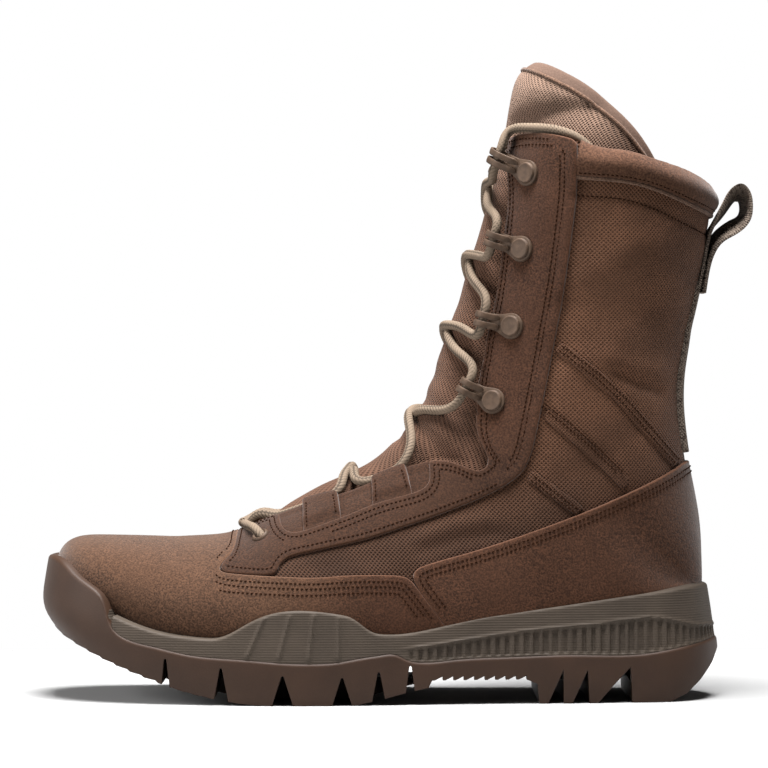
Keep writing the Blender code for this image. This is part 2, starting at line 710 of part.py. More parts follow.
def rib(place_top, top, place_low, low):
    """The eight corners of one raised rib on the midsole's wall."""
    corners = []
    for place, z in ((place_low, low), (place_top, top)):
        wall, normal = midsole_wall(place, z)
        along = np.array([-normal[1], normal[0]]) * RIB_WIDTH / 2
        for depth, way in ((-RIB_ROOT, -1), (-RIB_ROOT, 1), (RIB_RISE, RIB_TAPER), (RIB_RISE, -RIB_TAPER)):
            spot = wall + normal * depth + along * way
            corners.append((spot[0], spot[1], z))
    return corners


def place_at_x(x, outer):
    """The place round the plan, on one side, that has the given x."""
    places = np.linspace(0, HEEL_KNOT, 600) if outer else np.linspace(PLAN.end, HEEL_KNOT, 600)
    return float(np.interp(x, PLAN.at(places % PLAN.end)[:, 0], places))


def rib_bars():
    """The ribs of the heel band and of the forefoot bump, as one union cutter."""
    band = Curve(RIB_BAND_TOP)
    band_points = band.at(np.linspace(0, band.end, 200))
    seam_points = np.array(OUTSOLE_TOP)
    bars = []
    start = place_at_x(RIB_START, True)
    end = place_at_x(RIB_START, False)
    for place in np.linspace(start, end, int((end - start) / RIB_PITCH)):
        x = float(PLAN.at(place)[0])
        low = np.interp(x, seam_points[:, 0], seam_points[:, 1]) + GAP + RIB_CLEAR
        bars.append(rib(place, np.interp(x, band_points[:, 0], band_points[:, 1]), place, low))
    for top_x, top_z, low_x, low_z in BUMP_RIBS:
        for outer in (True, False):
            top, low = (place_at_x(x, outer) for x in (top_x, low_x))
            bars.append(rib(top, top_z - RIB_CLEAR, low, low_z + RIB_CLEAR))
    points = []
    faces = []
    for corners in bars:
        first = len(points)
        points += corners
        for quad in ((0, 1, 2, 3), (7, 6, 5, 4), (0, 4, 5, 1), (1, 5, 6, 2), (2, 6, 7, 3), (3, 7, 4, 0)):
            faces.append([first + i for i in quad])
    return hide(new_object("ribs", points, faces, None))


def make_midsole(materials, pocket):
    midsole = sole_block("midsole", MIDSOLE_STEP, materials["taupe_foam"])
    low = [(x + GAP, z + GAP) for x, z in OUTSOLE_TOP if x > MIDSOLE_TOP[0][0]]
    boolean(midsole, prism("midsole_outline", low + list(MIDSOLE_TOP[::-1]), -ACROSS, ACROSS), "INTERSECT")
    boolean(midsole, rib_bars(), "UNION")
    boolean(midsole, pocket, "DIFFERENCE")
    smooth(midsole, 30)


INSOLE_END_ROW = FIRST_BACK_ROW - 0.6
FOOT_LINE_STEPS = 26


def foot_line(side):
    """The upper's foot line on one side, from toe to heel, as x, y and z."""
    u = np.linspace(0, INSOLE_END_ROW, FOOT_LINE_STEPS)
    return wall_point(u, 1.0, side, 0.0)


def make_insole(materials):
    """A slab that follows the floor of the upper, inside its wall."""
    lines = [foot_line(side) for side in (-1.0, 1.0)]
    outline = np.concatenate([lines[0], lines[1][::-1]])[:, :2]
    ahead = np.roll(outline, -1, axis=0) - np.roll(outline, 1, axis=0)
    normals = np.stack([ahead[:, 1], -ahead[:, 0]], axis=-1)
    normals /= np.linalg.norm(normals, axis=1, keepdims=True)
    middle = outline.mean(axis=0)
    if np.sum((outline - middle) * normals) < 0:
        normals = -normals
    inner = outline - normals * (WALL + INSOLE_INSET)
    floor = np.interp(inner[:, 0], lines[0][:, 0], lines[0][:, 2])
    rings = [np.column_stack([inner, floor + lift]) for lift in (GAP, GAP + INSOLE_THICK)]
    count = len(inner)
    points = np.concatenate(rings)
    faces = []
    for i in range(count):
        j = (i + 1) % count
        faces.append((i, j, count + j, count + i))
    for first in (0, count):
        for i in range(count // 2 - 1):
            faces.append([first + k for k in (i, i + 1, count - i - 2, count - i - 1)])
    insole = new_object("insole", points, faces, materials["nylon"])
    smooth(insole)


TONGUE_ROWS = np.array([7.7, 8, 8.3, 8.7, 9.4, 10.2, 11, 12, 13, 14, 15.5, 17, 19, 21, 22.5, 24, 26])
TONGUE_UNDER = -(WALL + 1.1)
TONGUE_AT_COLLAR = -(WALL + LACE + 1.2)
TONGUE_NARROW = 0.88      # the swell's width, as a share of the throat's
TONGUE_COLUMNS = 7
# How far the tongue stands out of the throat: section row, offset from the upper's wall.
TONGUE_SWELL = (
    (7.6, TONGUE_UNDER), (8.5, TONGUE_UNDER), (9.4, -1.0), (10, 0.6), (11, 1.6), (12, 2.6), (14, 3.2),
    (16, 4.2), (18, 4.0), (20, 3.0), (22, 1.0), (24, -0.2), (27, -0.6),
)
TONGUE_SIDES = ((7.6, TONGUE_UNDER), (20, TONGUE_UNDER), (22.5, TONGUE_AT_COLLAR), (27, TONGUE_AT_COLLAR))
# Width of the swell above the collar, where no throat holds it: section row, share of the section.
TONGUE_ROUND = ((7.6, 0.02), (24.3, 0.02), (25.4, 0.45), (27, 0.55))
# How far the tongue's edge lies past the throat's edge: section row, share of the section.
TONGUE_MARGIN = ((7.6, 0.1), (9, 0.1), (20, 0.1), (22.5, 0.2), (24, 0.53), (27, 0.56))


def tongue_offset(u, v):
    """How far the tongue's outer face stands off the upper's wall."""
    swell = np.interp(u, *zip(*TONGUE_SWELL))
    sides = np.interp(u, *zip(*TONGUE_SIDES))
    edge = np.maximum(TONGUE_NARROW * throat_v(u), np.interp(u, *zip(*TONGUE_ROUND)))
    inside = np.clip(1 - (v / edge) ** 2, 0, 1)
    return sides + (swell - sides) * inside


def make_tongue(materials):
    rough_u = TONGUE_ROWS[:, None]
    columns = np.linspace(0, 1, TONGUE_COLUMNS)[None, :]
    v = columns * (throat_v(rough_u) + np.interp(rough_u, *zip(*TONGUE_MARGIN)))
    start, end = TONGUE_ROWS[[0, -1]]
    u = start + (top_u(v, TONGUE_UV) - start) * (rough_u - start) / (end - start)
    offsets = tongue_offset(u, v)
    sheets = []
    for depth in (TONGUE_THICK, 0.0):
        sheets.append([wall_point(u, v, side, offsets - depth) for side in (-1.0, 1.0)])
    rows = len(TONGUE_ROWS)
    faces = grid_faces(rows, TONGUE_COLUMNS, 0, False)
    faces += grid_faces(rows, TONGUE_COLUMNS, rows * TONGUE_COLUMNS, True)
    smooth(shell("tongue", *sheets, faces, materials["nylon"]))


def make_back_strip(materials):
    strip = upper_shell("back_strip", GAP, GAP + WEBBING, materials["webbing"])
    low, high = BACK_STRIP_Z
    box = ((270, low), (310, low), (310, high), (270, high))
    boolean(strip, prism("back_strip_outline", box, -BACK_STRIP_HALF, BACK_STRIP_HALF), "INTERSECT")
    smooth(strip)


def make_pull_loop(materials):
    """Flat webbing bent into a loop behind the collar."""
    curve = Curve(PULL_LOOP)
    path = curve.at(np.linspace(0, curve.end, LOOP_STEPS))
    ahead = np.gradient(path, axis=0)
    ahead /= np.linalg.norm(ahead, axis=1, keepdims=True)
    normal = np.stack([-ahead[:, 1], ahead[:, 0]], axis=-1)
    leans = np.interp(np.linspace(0, 1, LOOP_STEPS), *zip(*LOOP_LEAN))
    points = []
    for spot, way, lean in zip(path, normal, leans):
        for y, depth in ((-1, -1), (1, -1), (1, 1), (-1, 1)):
            x, z = spot + way * (depth * LOOP_THICK / 2 - (lean if y < 0 else 0.0))
            points.append((x, y * LOOP_WIDTH / 2, z))
    faces = [(0, 1, 2, 3), tuple(len(points) - 1 - i for i in range(4))]
    for i in range(len(path) - 1):
        for j in range(4):
            k = (j + 1) % 4
            faces.append((4 * i + j, 4 * i + 4 + j, 4 * i + 4 + k, 4 * i + k))
    loop = new_object("pull_loop", points, faces, materials["webbing"])
    smooth(loop)


def side_frame(x, z, tilt, side, offset):
    """Origin and axes on the upper's side: forward along the tilt, across, and out."""
    u, v = locate(x, z)
    side = np.float64(side)
    origin = wall_point(u, v, side, offset)
    out = surface_normal(np.float64(u), np.float64(v), side)
    way = np.array([-math.cos(math.radians(tilt)), 0.0, math.sin(math.radians(tilt))])
    across = np.cross(out, way)
    across /= np.linalg.norm(across)
    forward = np.cross(across, out)
    return origin, forward, across, out


def placed(frame, points):
    origin, forward, across, out = frame
    return [origin + a * forward + b * across + c * out for a, b, c in points]


def drawn_out(name, profile, low, high, frame, axes, material):
    """A flat profile drawn out between two levels, in a frame on the upper's side."""
    count = len(profile)
    points = []
    for level in (low, high):
        for a, b in profile:
            points.append((a, b, level) if axes == "plate" else (a, level, b))
    faces = [tuple(range(count)), tuple(range(2 * count - 1, count - 1, -1))]
    for i in range(count):
        j = (i + 1) % count
        faces.append((i, i + count, j + count, j))
    return new_object(name, placed(frame, points), faces, material)


def arc(centre_a, centre_b, radius, start, end, count):
    """Points of an arc, angles in degrees."""
    turns = np.radians(np.linspace(start, end, count))
    return [(centre_a + radius * math.cos(t), centre_b + radius * math.sin(t)) for t in turns]


def make_hook(name, x, z, tilt, side, materials):
    """A speed hook: riveted plate, rivet head, and a nose that turns back over the lace."""
    frame = side_frame(x, z, tilt, side, CUP)
    half = HOOK_WIDTH / 2
    plate = arc(0, 0, HOOK_PLATE_R, 65, 295, 7) + [(HOOK_NECK, -half), (HOOK_NECK + 2, -half)]
    plate += [(HOOK_NECK + 2, half), (HOOK_NECK, half)]
    hook = drawn_out(name, plate, 0.0, HOOK_PLATE_T, frame, "plate", materials["hook_metal"])
    head = arc(0, 0, RIVET_R, 0, 324, 10)
    rivet = hide(drawn_out(name + "_rivet", head, 0.3, RIVET_H, frame, "plate", None))
    thick = HOOK_PLATE_T
    round_out = HOOK_BITE / 2 + thick
    middle = thick + HOOK_BITE / 2
    centre = HOOK_NOSE - round_out
    outside = [(HOOK_NECK, 0.02)] + arc(centre, middle, round_out, -90, 90, 5)
    inside = arc(centre, middle, HOOK_BITE / 2, 90, -90, 5) + [(HOOK_NECK, thick - 0.02)]
    lip = [(HOOK_NECK + 1.0, middle + round_out), (HOOK_NECK + 1.0, middle + HOOK_BITE / 2)]
    nose_profile = outside + lip + inside
    nose = hide(drawn_out(name + "_nose", nose_profile, -half + 0.05, half - 0.05, frame, "nose", None))
    boolean(hook, rivet, "UNION")
    boolean(hook, nose, "UNION")
    smooth(hook)


def make_eyelet(name, side, materials):
    """A ring set on the eyestay."""
    frame = side_frame(*EYELET, 0.0, side, CUP)
    inner, outer = EYELET_R
    sides = 8
    section_points = ((inner, 0.0), (outer, 0.0), (outer - 0.4, 0.7), (inner, 1.0))
    points = []
    for i in range(sides):
        turn = 2 * math.pi * i / sides
        for radius, height in section_points:
            points.append((radius * math.cos(turn), radius * math.sin(turn), height))
    count = len(section_points)
    faces = []
    for i in range(sides):
        for j in range(count):
            k = (j + 1) % count
            after = (i + 1) % sides * count
            faces.append((i * count + j, after + j, after + k, i * count + k))
    smooth(new_object(name, placed(frame, points), faces, materials["hook_metal"]))


def tube(name, path, material):
    """A round cord along a path, with closed ends."""
    sides = LACE_SIDES
    ahead = np.gradient(path, axis=0)
    ahead /= np.linalg.norm(ahead, axis=1, keepdims=True)
    normal = np.cross(ahead[0], (0.0, 0.0, 1.0))
    points = []
    for spot, way in zip(path, ahead):
        normal = normal - way * np.dot(normal, way)
        normal /= np.linalg.norm(normal)
        other = np.cross(way, normal)
        for i in range(sides):
            turn = 2 * math.pi * i / sides
            points.append(spot + (normal * math.cos(turn) + other * math.sin(turn)) * LACE / 2)
    faces = [tuple(range(sides)), tuple(range(len(points) - 1, len(points) - sides - 1, -1))]
    for i in range(len(path) - 1):
        for j in range(sides):
            k = (j + 1) % sides
            faces.append((i * sides + j, (i + 1) * sides + j, (i + 1) * sides + k, i * sides + k))
    return new_object(name, points, faces, material)


def lace_offset(u, v):
    """How far the lace's middle stands off the upper's wall, over tongue and eyestay."""
    over = np.maximum(tongue_offset(u, v), OVERLAY_TOP)
    return over + LACE / 2 + LACE_CLEAR


def holder_point(number, upper_side, side):
    """Where a strand ends beside an eyelet, a keeper or a hook, with the section row there."""
    if number < len(LACE_HOLDERS):
        first = 2 if upper_side else 0
        u, v = locate(*LACE_HOLDERS[number][first:first + 2])
        return wall_point(u, v, np.float64(side), lace_offset(u, v)), u
    x, z, tilt = HOOKS[number - len(LACE_HOLDERS)]
    origin, forward, across, out = side_frame(x, z, tilt, side, CUP)
    down = across if across[2] < 0 else -across
    reach = -HOOK_LACE_SIDE if upper_side else HOOK_LACE_SIDE
    point = origin + forward * HOOK_LACE + down * reach + out * (HOOK_PLATE_T + HOOK_BITE / 2)
    return point, locate(point[0], point[2])[0]


def strand(start, end, rise, middle):
    """A strand from a holder on the outer side over the tongue to one on the inner side."""
    (first, first_u), (last, last_u) = start, end
    points = [first]
    for share, side in ((0.5, -1.0), (0.0, -1.0), (0.5, 1.0)):
        u = middle + (first_u - middle if side < 0 else last_u - middle) * share
        v = share * float(throat_v(u))
        extra = rise * (1 - share)
        points.append(wall_point(u, v, np.float64(side), lace_offset(u, v) + extra))
    points.append(last)
    curve = Curve(points)
    return curve.at(np.linspace(0, curve.end, LACE_STEPS))


CROSSING_RISE = (1.0, 3.2)
# Section rows in which the strands cross over the ridge, from the toe up.
CROSSING_ROWS = (9.1, 10.7, 13.4, 17.3, 19.9, 22.1)


def make_crossing(number, holder, materials):
    """Two strands that cross over the tongue, between two pairs of holders."""
    low = [holder_point(holder, True, side) for side in (-1.0, 1.0)]
    high = [holder_point(holder + 1, False, side) for side in (-1.0, 1.0)]
    row = CROSSING_ROWS[number - 1]
    first = strand(low[0], high[1], CROSSING_RISE[0], row)
    second = strand(high[0], low[1], CROSSING_RISE[1], row)
    name = f"lace_crossing_{number}"
    crossing = tube(name, first, materials["lace"])
    boolean(crossing, hide(tube(name + "_second", second, None)), "UNION")
    smooth(crossing)


# The lace's ends run from the top hook over the eyestay's top edge and in behind the collar:
# x and z seen from the side, and how far out of the upper's wall.
LACE_END = (
    (209.5, 250.6, 3.4), (216, 252.2, 1.0), (224, 252.0, -0.6), (232, 249.6, -1.4),
    (239, 245.4, -4.8), (244, 239.0, -5.0),
)


def lace_end_path(side):
    """The end of the lace, as points a few diameters apart on a smooth curve."""
    points = [holder_point(len(LACE_HOLDERS) + len(HOOKS) - 1, True, side)[0]]
    for x, z, offset in LACE_END:
        u, v = locate(x, z)
        points.append(wall_point(u, v, np.float64(side), offset))
    curve = Curve(points)
    return curve.at(np.linspace(0, curve.end, LACE_STEPS))


def make_laces(materials):
    foot = [holder_point(0, False, side) for side in (-1.0, 1.0)]
    smooth(tube("lace_bar", strand(*foot, CROSSING_RISE[0], LACE_FOOT), materials["lace"]))
    for number in range(len(LACE_HOLDERS) + len(HOOKS) - 1):
        make_crossing(number + 1, number, materials)
    for name, side in (("lace_end_lateral", -1.0), ("lace_end_medial", 1.0)):
        smooth(tube(name, lace_end_path(side), materials["lace"]))


def make_upper(materials):
    smooth(upper_shell("upper", -WALL, 0.0, materials["nylon"]))


def make_panels(materials):
    overlay("vamp", VAMP, SUEDE, -ACROSS, ACROSS, materials)
    overlay("heel_counter", COUNTER, SUEDE, -ACROSS, ACROSS, materials)
    overlay("collar_cuff", CUFF_BAND, CUFF, -ACROSS, ACROSS, materials)
    for side, low_y, high_y in SIDES:
        overlay("eyestay_" + side, EYESTAY, SUEDE, low_y, high_y, materials, window=LACE_WINDOW)
        for number, outline in enumerate(LACE_KEEPERS, start=1):
            name = f"lace_keeper_{side}_{number}"
            overlay(name, outline, SUEDE, low_y, high_y, materials, lift=KEEPER_LIFT)


def make_fittings(materials):
    for side, sign in (("lateral", -1.0), ("medial", 1.0)):
        make_eyelet("eyelet_" + side, sign, materials)
        for number, (x, z, tilt) in enumerate(HOOKS, start=1):
            make_hook(f"hook_{side}_{number}", x, z, tilt, sign, materials)


def main():
    clear_scene()
    materials = make_materials()
    pocket = last_form()
    make_outsole(materials, pocket)
    make_midsole(materials, pocket)
    make_insole(materials)
    make_upper(materials)
    make_tongue(materials)
    make_panels(materials)
    make_back_strip(materials)
    make_pull_loop(materials)
    make_fittings(materials)
    make_laces(materials)


main()
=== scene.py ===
"""The looks of a left military boot: suede over nylon, laced, on a foam midsole and rubber outsole.

Tables and functions work in millimetres, with x from the tip of the toe back towards the heel
and z above the floor. The outer side of the foot is at -Y. Meshes are made in metres, with the
origin on the floor under the middle of the boot. The boot's own sizes are those of the part.
"""

import math

import bmesh
import bpy
import numpy as np
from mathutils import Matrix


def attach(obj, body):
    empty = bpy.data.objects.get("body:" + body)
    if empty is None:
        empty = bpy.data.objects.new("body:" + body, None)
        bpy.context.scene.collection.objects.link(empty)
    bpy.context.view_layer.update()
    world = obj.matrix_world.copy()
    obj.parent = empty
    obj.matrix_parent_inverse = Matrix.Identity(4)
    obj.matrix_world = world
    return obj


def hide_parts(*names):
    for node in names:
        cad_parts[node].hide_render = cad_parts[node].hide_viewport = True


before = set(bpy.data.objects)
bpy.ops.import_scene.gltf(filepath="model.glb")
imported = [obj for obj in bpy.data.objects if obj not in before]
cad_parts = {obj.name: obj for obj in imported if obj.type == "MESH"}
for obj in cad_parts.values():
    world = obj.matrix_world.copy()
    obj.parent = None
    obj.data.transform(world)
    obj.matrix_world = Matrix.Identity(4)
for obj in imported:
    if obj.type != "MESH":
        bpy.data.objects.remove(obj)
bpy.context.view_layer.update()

# Driving dimensions, in millimetres.
SOLE_LENGTH = 300.8       # toe bumper to the back of the heel
MIDDLE_X = 158.2          # half of the length with the pull loop
MIDDLE_Y = -1.2           # middle of the sole's width
TOE_SPRING = 34.0         # lift of the tread at the tip of the toe
SPRING_LENGTH = 104.0     # distance from the tip in which the lift runs out
SPRING_POWER = 1.75
GAP = 0.3                 # between pieces that meet
WALL = 2.2                # nylon, foam and lining of the upper
SUEDE = 1.4               # overlay panels
WEBBING = 1.2             # back strip
LOOP_THICK = 1.8
LOOP_WIDTH = 20.0
TONGUE_THICK = 4.0
INSOLE_INSET = 3.0        # from the upper's foot line to the insole's edge
LACE = 4.2                # diameter
OVERLAY_TOP = GAP + SUEDE
CUP = OVERLAY_TOP + GAP   # the sole's pocket is cut this far outside the upper's wall

# The sole from above, a row for each place along it: x, outer edge, inner edge.
SOLE_PLAN = (
    (5, -16, 29),
    (15, -29.4, 39),
    (30, -39, 45.4),
    (50, -46, 49),
    (75, -50.5, 51),
    (95, -53, 51.5),
    (115, -54, 49.5),
    (140, -52.5, 44),
    (165, -49, 38.5),
    (190, -45.5, 36.5),
    (215, -42.5, 37),
    (240, -40.5, 37.5),
    (265, -37, 35.5),
    (280, -33.4, 32.8),
    (292, -23.4, 23.2),
    (298, -11.4, 12),
)
TOE_Y = 8.0
HEEL_Y = 0.5

# The wall of the sole: height above the tread's lift, how far it stands in from the plan.
SOLE_WALL = (
    (-4, 5.5),
    (6, 1.4),
    (16, 0.0),
    (30, 0.8),
    (49, 2.8),
    (60, 4.4),
)
TOE_LEAN = 0.4            # share by which the wall's heights shrink at the tip of the toe
SIDE_UPRIGHT = 0.75       # share of the lean that the wall loses on the two long sides
UPRIGHT_FROM = (30.0, 90.0)
HEEL_LEAN = 0.55          # share of the lean that the wall gains at the back
MIDSOLE_STEP = 0.7        # the midsole stands this far in from the outsole

# The upper, a row for each section. A section is flat and runs, seen from the side, straight
# from the ridge (top or front) to the base (foot line, or back of the shaft). outer and inner
# are the y of its widest points, wrap the angle that it turns through, full its squareness.
SECTION_COLUMNS = ("ridge_x", "ridge_z", "base_x", "base_z", "ridge_y", "outer", "inner", "wrap", "full")
SECTIONS = (
    (8.0, 43.0, 10.0, 38.2, 7.0, -8.6, 22.2, 100, 2.2),
    (7.0, 50.0, 14.0, 36.0, 7.0, -14.6, 26.4, 100, 2.2),
    (7.2, 58.2, 21.0, 33.6, 6.5, -20.4, 31.0, 101, 2.3),
    (10.6, 65.6, 32.0, 31.5, 6.0, -26.6, 35.2, 102, 2.3),
    (18.0, 69.2, 45.0, 29.6, 5.5, -32.6, 39.2, 103, 2.3),
    (30.0, 69.7, 58.0, 28.0, 5.0, -38.0, 42.2, 104, 2.2),
    (46.0, 69.0, 72.0, 26.8, 4.5, -42.6, 44.8, 104, 2.15),
    (66.0, 69.3, 87.0, 26.0, 4.0, -46.4, 46.4, 104, 2.1),
    (86.0, 71.8, 102.0, 25.8, 3.0, -49.0, 46.6, 104, 2.05),
    (104.0, 82.0, 122.0, 26.0, 2.0, -50.0, 44.0, 104, 2.0),
    (126.0, 92.0, 147.0, 27.0, 1.0, -48.0, 38.5, 104, 2.0),
    (146.0, 100.5, 172.0, 29.0, 0.5, -45.0, 35.0, 105, 2.0),
    (158.0, 109.0, 198.0, 33.0, 0.0, -42.5, 35.0, 107, 2.0),
    (166.0, 117.5, 224.0, 37.0, 0.0, -40.0, 36.0, 112, 2.0),
    (172.0, 127.0, 252.0, 41.0, 0.0, -38.5, 36.3, 119, 2.0),
    (177.0, 137.0, 276.0, 45.0, 0.0, -37.5, 36.3, 133, 2.0),
    (181.0, 147.0, 290.0, 48.5, 0.0, -37.0, 36.3, 159, 2.0),
    (184.5, 157.0, 292.0, 51.5, 0.0, -36.5, 36.0, 180, 2.0),
    (188.0, 168.0, 291.4, 74.0, 0.0, -36.5, 36.0, 180, 2.0),
    (191.5, 181.0, 287.2, 99.0, 0.0, -37.0, 36.5, 180, 2.0),
    (195.0, 194.0, 283.2, 125.0, 0.0, -38.0, 37.5, 180, 2.0),
    (198.5, 209.5, 285.0, 150.0, 0.0, -40.0, 39.5, 180, 2.0),
    (202.0, 228.0, 290.5, 177.0, 0.0, -42.5, 42.0, 180, 2.05),
    (204.0, 239.0, 295.5, 202.0, 0.0, -44.0, 43.5, 180, 2.1),
    (205.5, 248.0, 298.0, 224.0, 0.0, -45.0, 44.5, 180, 2.1),
    (208.0, 264.0, 300.0, 245.0, 0.0, -42.0, 41.5, 180, 2.1),
    (212.4, 277.0, 303.0, 265.0, 0.0, -35.5, 35.0, 180, 2.1),
    (223.0, 284.0, 306.0, 285.0, 0.0, -30.0, 29.5, 180, 2.1),
)
FIRST_BACK_ROW = 17       # from this section on the base is the back of the shaft

# Outlines seen from the side, as x and z.
THROAT_EDGE = (
    (86.2, 71.9), (89, 73.0), (94.5, 75.2), (101, 78.2), (109, 81.4), (117, 84.5), (133, 89.2),
    (146, 94.0), (160, 100.5), (169, 103.4), (177.5, 104.6), (184, 103.5), (190, 101.3),
    (194.4, 100.6), (197, 102.3), (197.8, 105), (196, 110), (193.5, 116.5), (192.8, 122.6),
    (196, 139), (199, 160), (203, 182), (206.4, 206), (207.7, 222), (207.2, 240), (207.6, 250),
)
COLLAR_EDGE = (
    (204.5, 244.0), (208.0, 246.5), (213, 247.7), (223, 247.4), (236, 243.6), (243, 240.5),
    (257, 238.4), (269.5, 235), (281, 231.8), (291, 228), (298.0, 224),
)
TONGUE_TOP = (
    (220.5, 282.6), (224, 281.2), (230.6, 277.8), (239.5, 272.8),
    (249, 266.2), (259.6, 256.6), (270, 243.8), (277.5, 231.5),
)
VAMP = (
    (-10, 90), (86.5, 90), (87, 73.5), (87.5, 66), (80.6, 59.4), (80.2, 56.8), (83.5, 54.8),
    (107, 54.2), (121, 53.8), (136, 55), (157.5, 55.2), (163, 53.8), (166.2, 49.5),
    (171.4, 42.9), (180, 31), (182, 20), (-10, 20),
)
COUNTER = (
    (164.6, 56.4), (170, 59.6), (198, 67), (236, 80.6), (257, 89.6), (276, 98.5), (286, 104.5),
    (305, 107), (305, 20), (183.2, 20), (181.2, 31.5), (172.2, 43.6), (167, 50.2),
)
EYESTAY = (
    (88.2, 95), (88.6, 66), (82.0, 59.2), (81.8, 57.4), (84, 56), (105.5, 55.4), (106.4, 59.4),
    (109.5, 62.6), (113.5, 64.4), (127.6, 67.5), (145, 71.2), (177, 82), (198, 90.6), (210.5, 98),
    (215.7, 106), (220, 125), (225, 151), (230, 178), (234, 207), (235.8, 225), (235.6, 260),
    (195, 260), (150, 150),
)
LACE_WINDOW = (
    (106, 90), (106.6, 78.5), (108.6, 74.4), (112.5, 72.6), (120, 74.6), (134, 79.6), (147, 85.2),
    (160.5, 89.2), (168.5, 91.6), (172, 94.6), (172.6, 99), (171.5, 110), (150, 120),
)
CUFF_FOOT = (
    (231, 229.2), (236.8, 228.4), (251, 227.2), (265, 224.8), (276, 221), (287, 216.6), (305, 211.5),
)
LACE_KEEPERS = (
    ((117.5, 92), (117.2, 73.6), (134, 79.2), (131.5, 96)),
    ((148, 104), (147.2, 84.6), (165, 91.2), (161, 108)),
)
BACK_STRIP_HALF = 10.0
BACK_STRIP_Z = (108.0, 184.0)

# The sole seen from the side.
OUTSOLE_TOP = (
    (3.0, 62.6), (6.4, 61.6), (14.5, 56), (22.5, 51), (28.5, 46.4), (31.2, 40), (33.5, 33.6),
    (38, 29.5), (51, 25.5), (69, 21.7), (91, 20), (109, 18.6), (121, 18.3), (133, 19),
    (142.5, 20.7), (151, 21.9), (157, 22.2), (162.5, 19.6), (166, 18.8), (183, 19.6), (205, 20.5),
    (236, 21.3), (266, 21.5), (276, 23), (288, 25), (304, 27.6),
)
MIDSOLE_TOP = (
    (32.6, 38.4), (45, 33.7), (57, 30.6), (72, 28.8), (80.6, 29), (85, 30.6), (91, 34),
    (100, 38.4), (133, 39.3), (138, 38), (142.5, 35), (148.5, 31.2), (153, 30.5), (168, 31.7),
    (189, 36.4), (205, 39), (228, 42), (242, 44), (255, 45.8), (268, 47.5), (283, 49.3),
    (293, 50.2), (304, 50.4),
)
RIB_BAND_TOP = (
    (150, 22.8), (183, 27.4), (216, 32), (252, 35.5), (270, 37), (288, 33.7), (304, 32.2),
)
RIB_PITCH = 4.2
# Ribs of the forefoot bump: x and z of the top, x and z of the foot.
BUMP_RIBS = (
    (100.5, 38.0, 93.5, 21.5),
    (111.6, 38.3, 107, 21),
    (122, 38.6, 120, 20.4),
    (133, 38.8, 132.6, 20.6),
)

ARCH = (173.0, 214.0)     # from and to, along the sole
ARCH_Z = 10.6
ARCH_TEETH = 9
TOOTH_DEPTH = 1.7
# Notches in the sole's side: apex x and z, half width on the floor.
NOTCHES = (
    (57.8, 20.0, 2.4),
    (82.0, 16.2, 3.2),
    (108.6, 13.0, 4.4),
    (134.2, 12.2, 4.2),
    (150.0, 14.5, 3.0),
    (163.6, 17.0, 2.4),
)
NOTCH_REACH = 15.0        # the notches stop this far from the middle line
HEEL_LUGS = (219.6, 230.2, 241.4)
LUG_FLAT = 3.8
LUG_TOP = 14.6
LUG_NEXT = 10.4
HEEL_BLOCK = (259.4, 277.0)
LUG_RAMP = (6.5, 7.5)     # slope behind the last lug: run and rise
# The tread between the arch and the flat ball of the foot.
BALL_BACK = ((171.5, 7.4), (162, 5.4), (150, 2.2), (139, 0.0))
HEEL_BACK = ((284.6, 3.4), (291, 9), (297, 16), (301.5, 24), (304, 27))

# Hooks: rivet x and z on the side, tilt of the hook's nose above the level in degrees.
HOOKS = (
    (202.2, 129.8, 27),
    (208.8, 163.6, 13),
    (213.2, 197.4, 16),
    (216.0, 230.4, 20),
)
HOOK_PLATE_R = 6.0
HOOK_PLATE_T = 1.0
RIVET_R = 4.6
HOOK_WIDTH = 7.4
HOOK_NECK = 8.0           # from the rivet to where the hook's nose starts
HOOK_NOSE = 17.5          # from the rivet to the front of the nose
HOOK_LACE = 13.4          # from the rivet to the middle of the lace in the hook's nose
EYELET = (99.0, 71.0)
EYELET_R = (2.1, 3.9)     # of its hole and of its rim

SIDE_NAMES = {-1.0: "lateral", 1.0: "medial"}
BOTH = tuple(SIDE_NAMES)
OUTER = np.float64(-1.0)  # the outer side of the foot


def spline_slopes(knots, values, closed):
    """Second derivatives of the cubic spline through the values at the knots."""
    count = len(knots) - 1 if closed else len(knots)
    step = np.diff(knots)
    matrix = np.zeros((count, count))
    target = np.zeros((count, values.shape[1]))
    for i in range(count):
        if not closed and i in (0, count - 1):
            matrix[i, i] = 1.0
            continue
        before = step[i - 1]
        after = step[i % len(step)]
        ahead = (i + 1) % count
        matrix[i, i - 1] += before
        matrix[i, i] += 2 * (before + after)
        matrix[i, ahead] += after
        target[i] = 6 * ((values[ahead] - values[i]) / after - (values[i] - values[i - 1]) / before)
    bends = np.linalg.solve(matrix, target)
    return np.vstack([bends, bends[:1]]) if closed else bends


def lengths_along(points):
    """How far along a path each of its points lies."""
    return np.concatenate([[0.0], np.cumsum(np.linalg.norm(np.diff(points, axis=0), axis=1))])


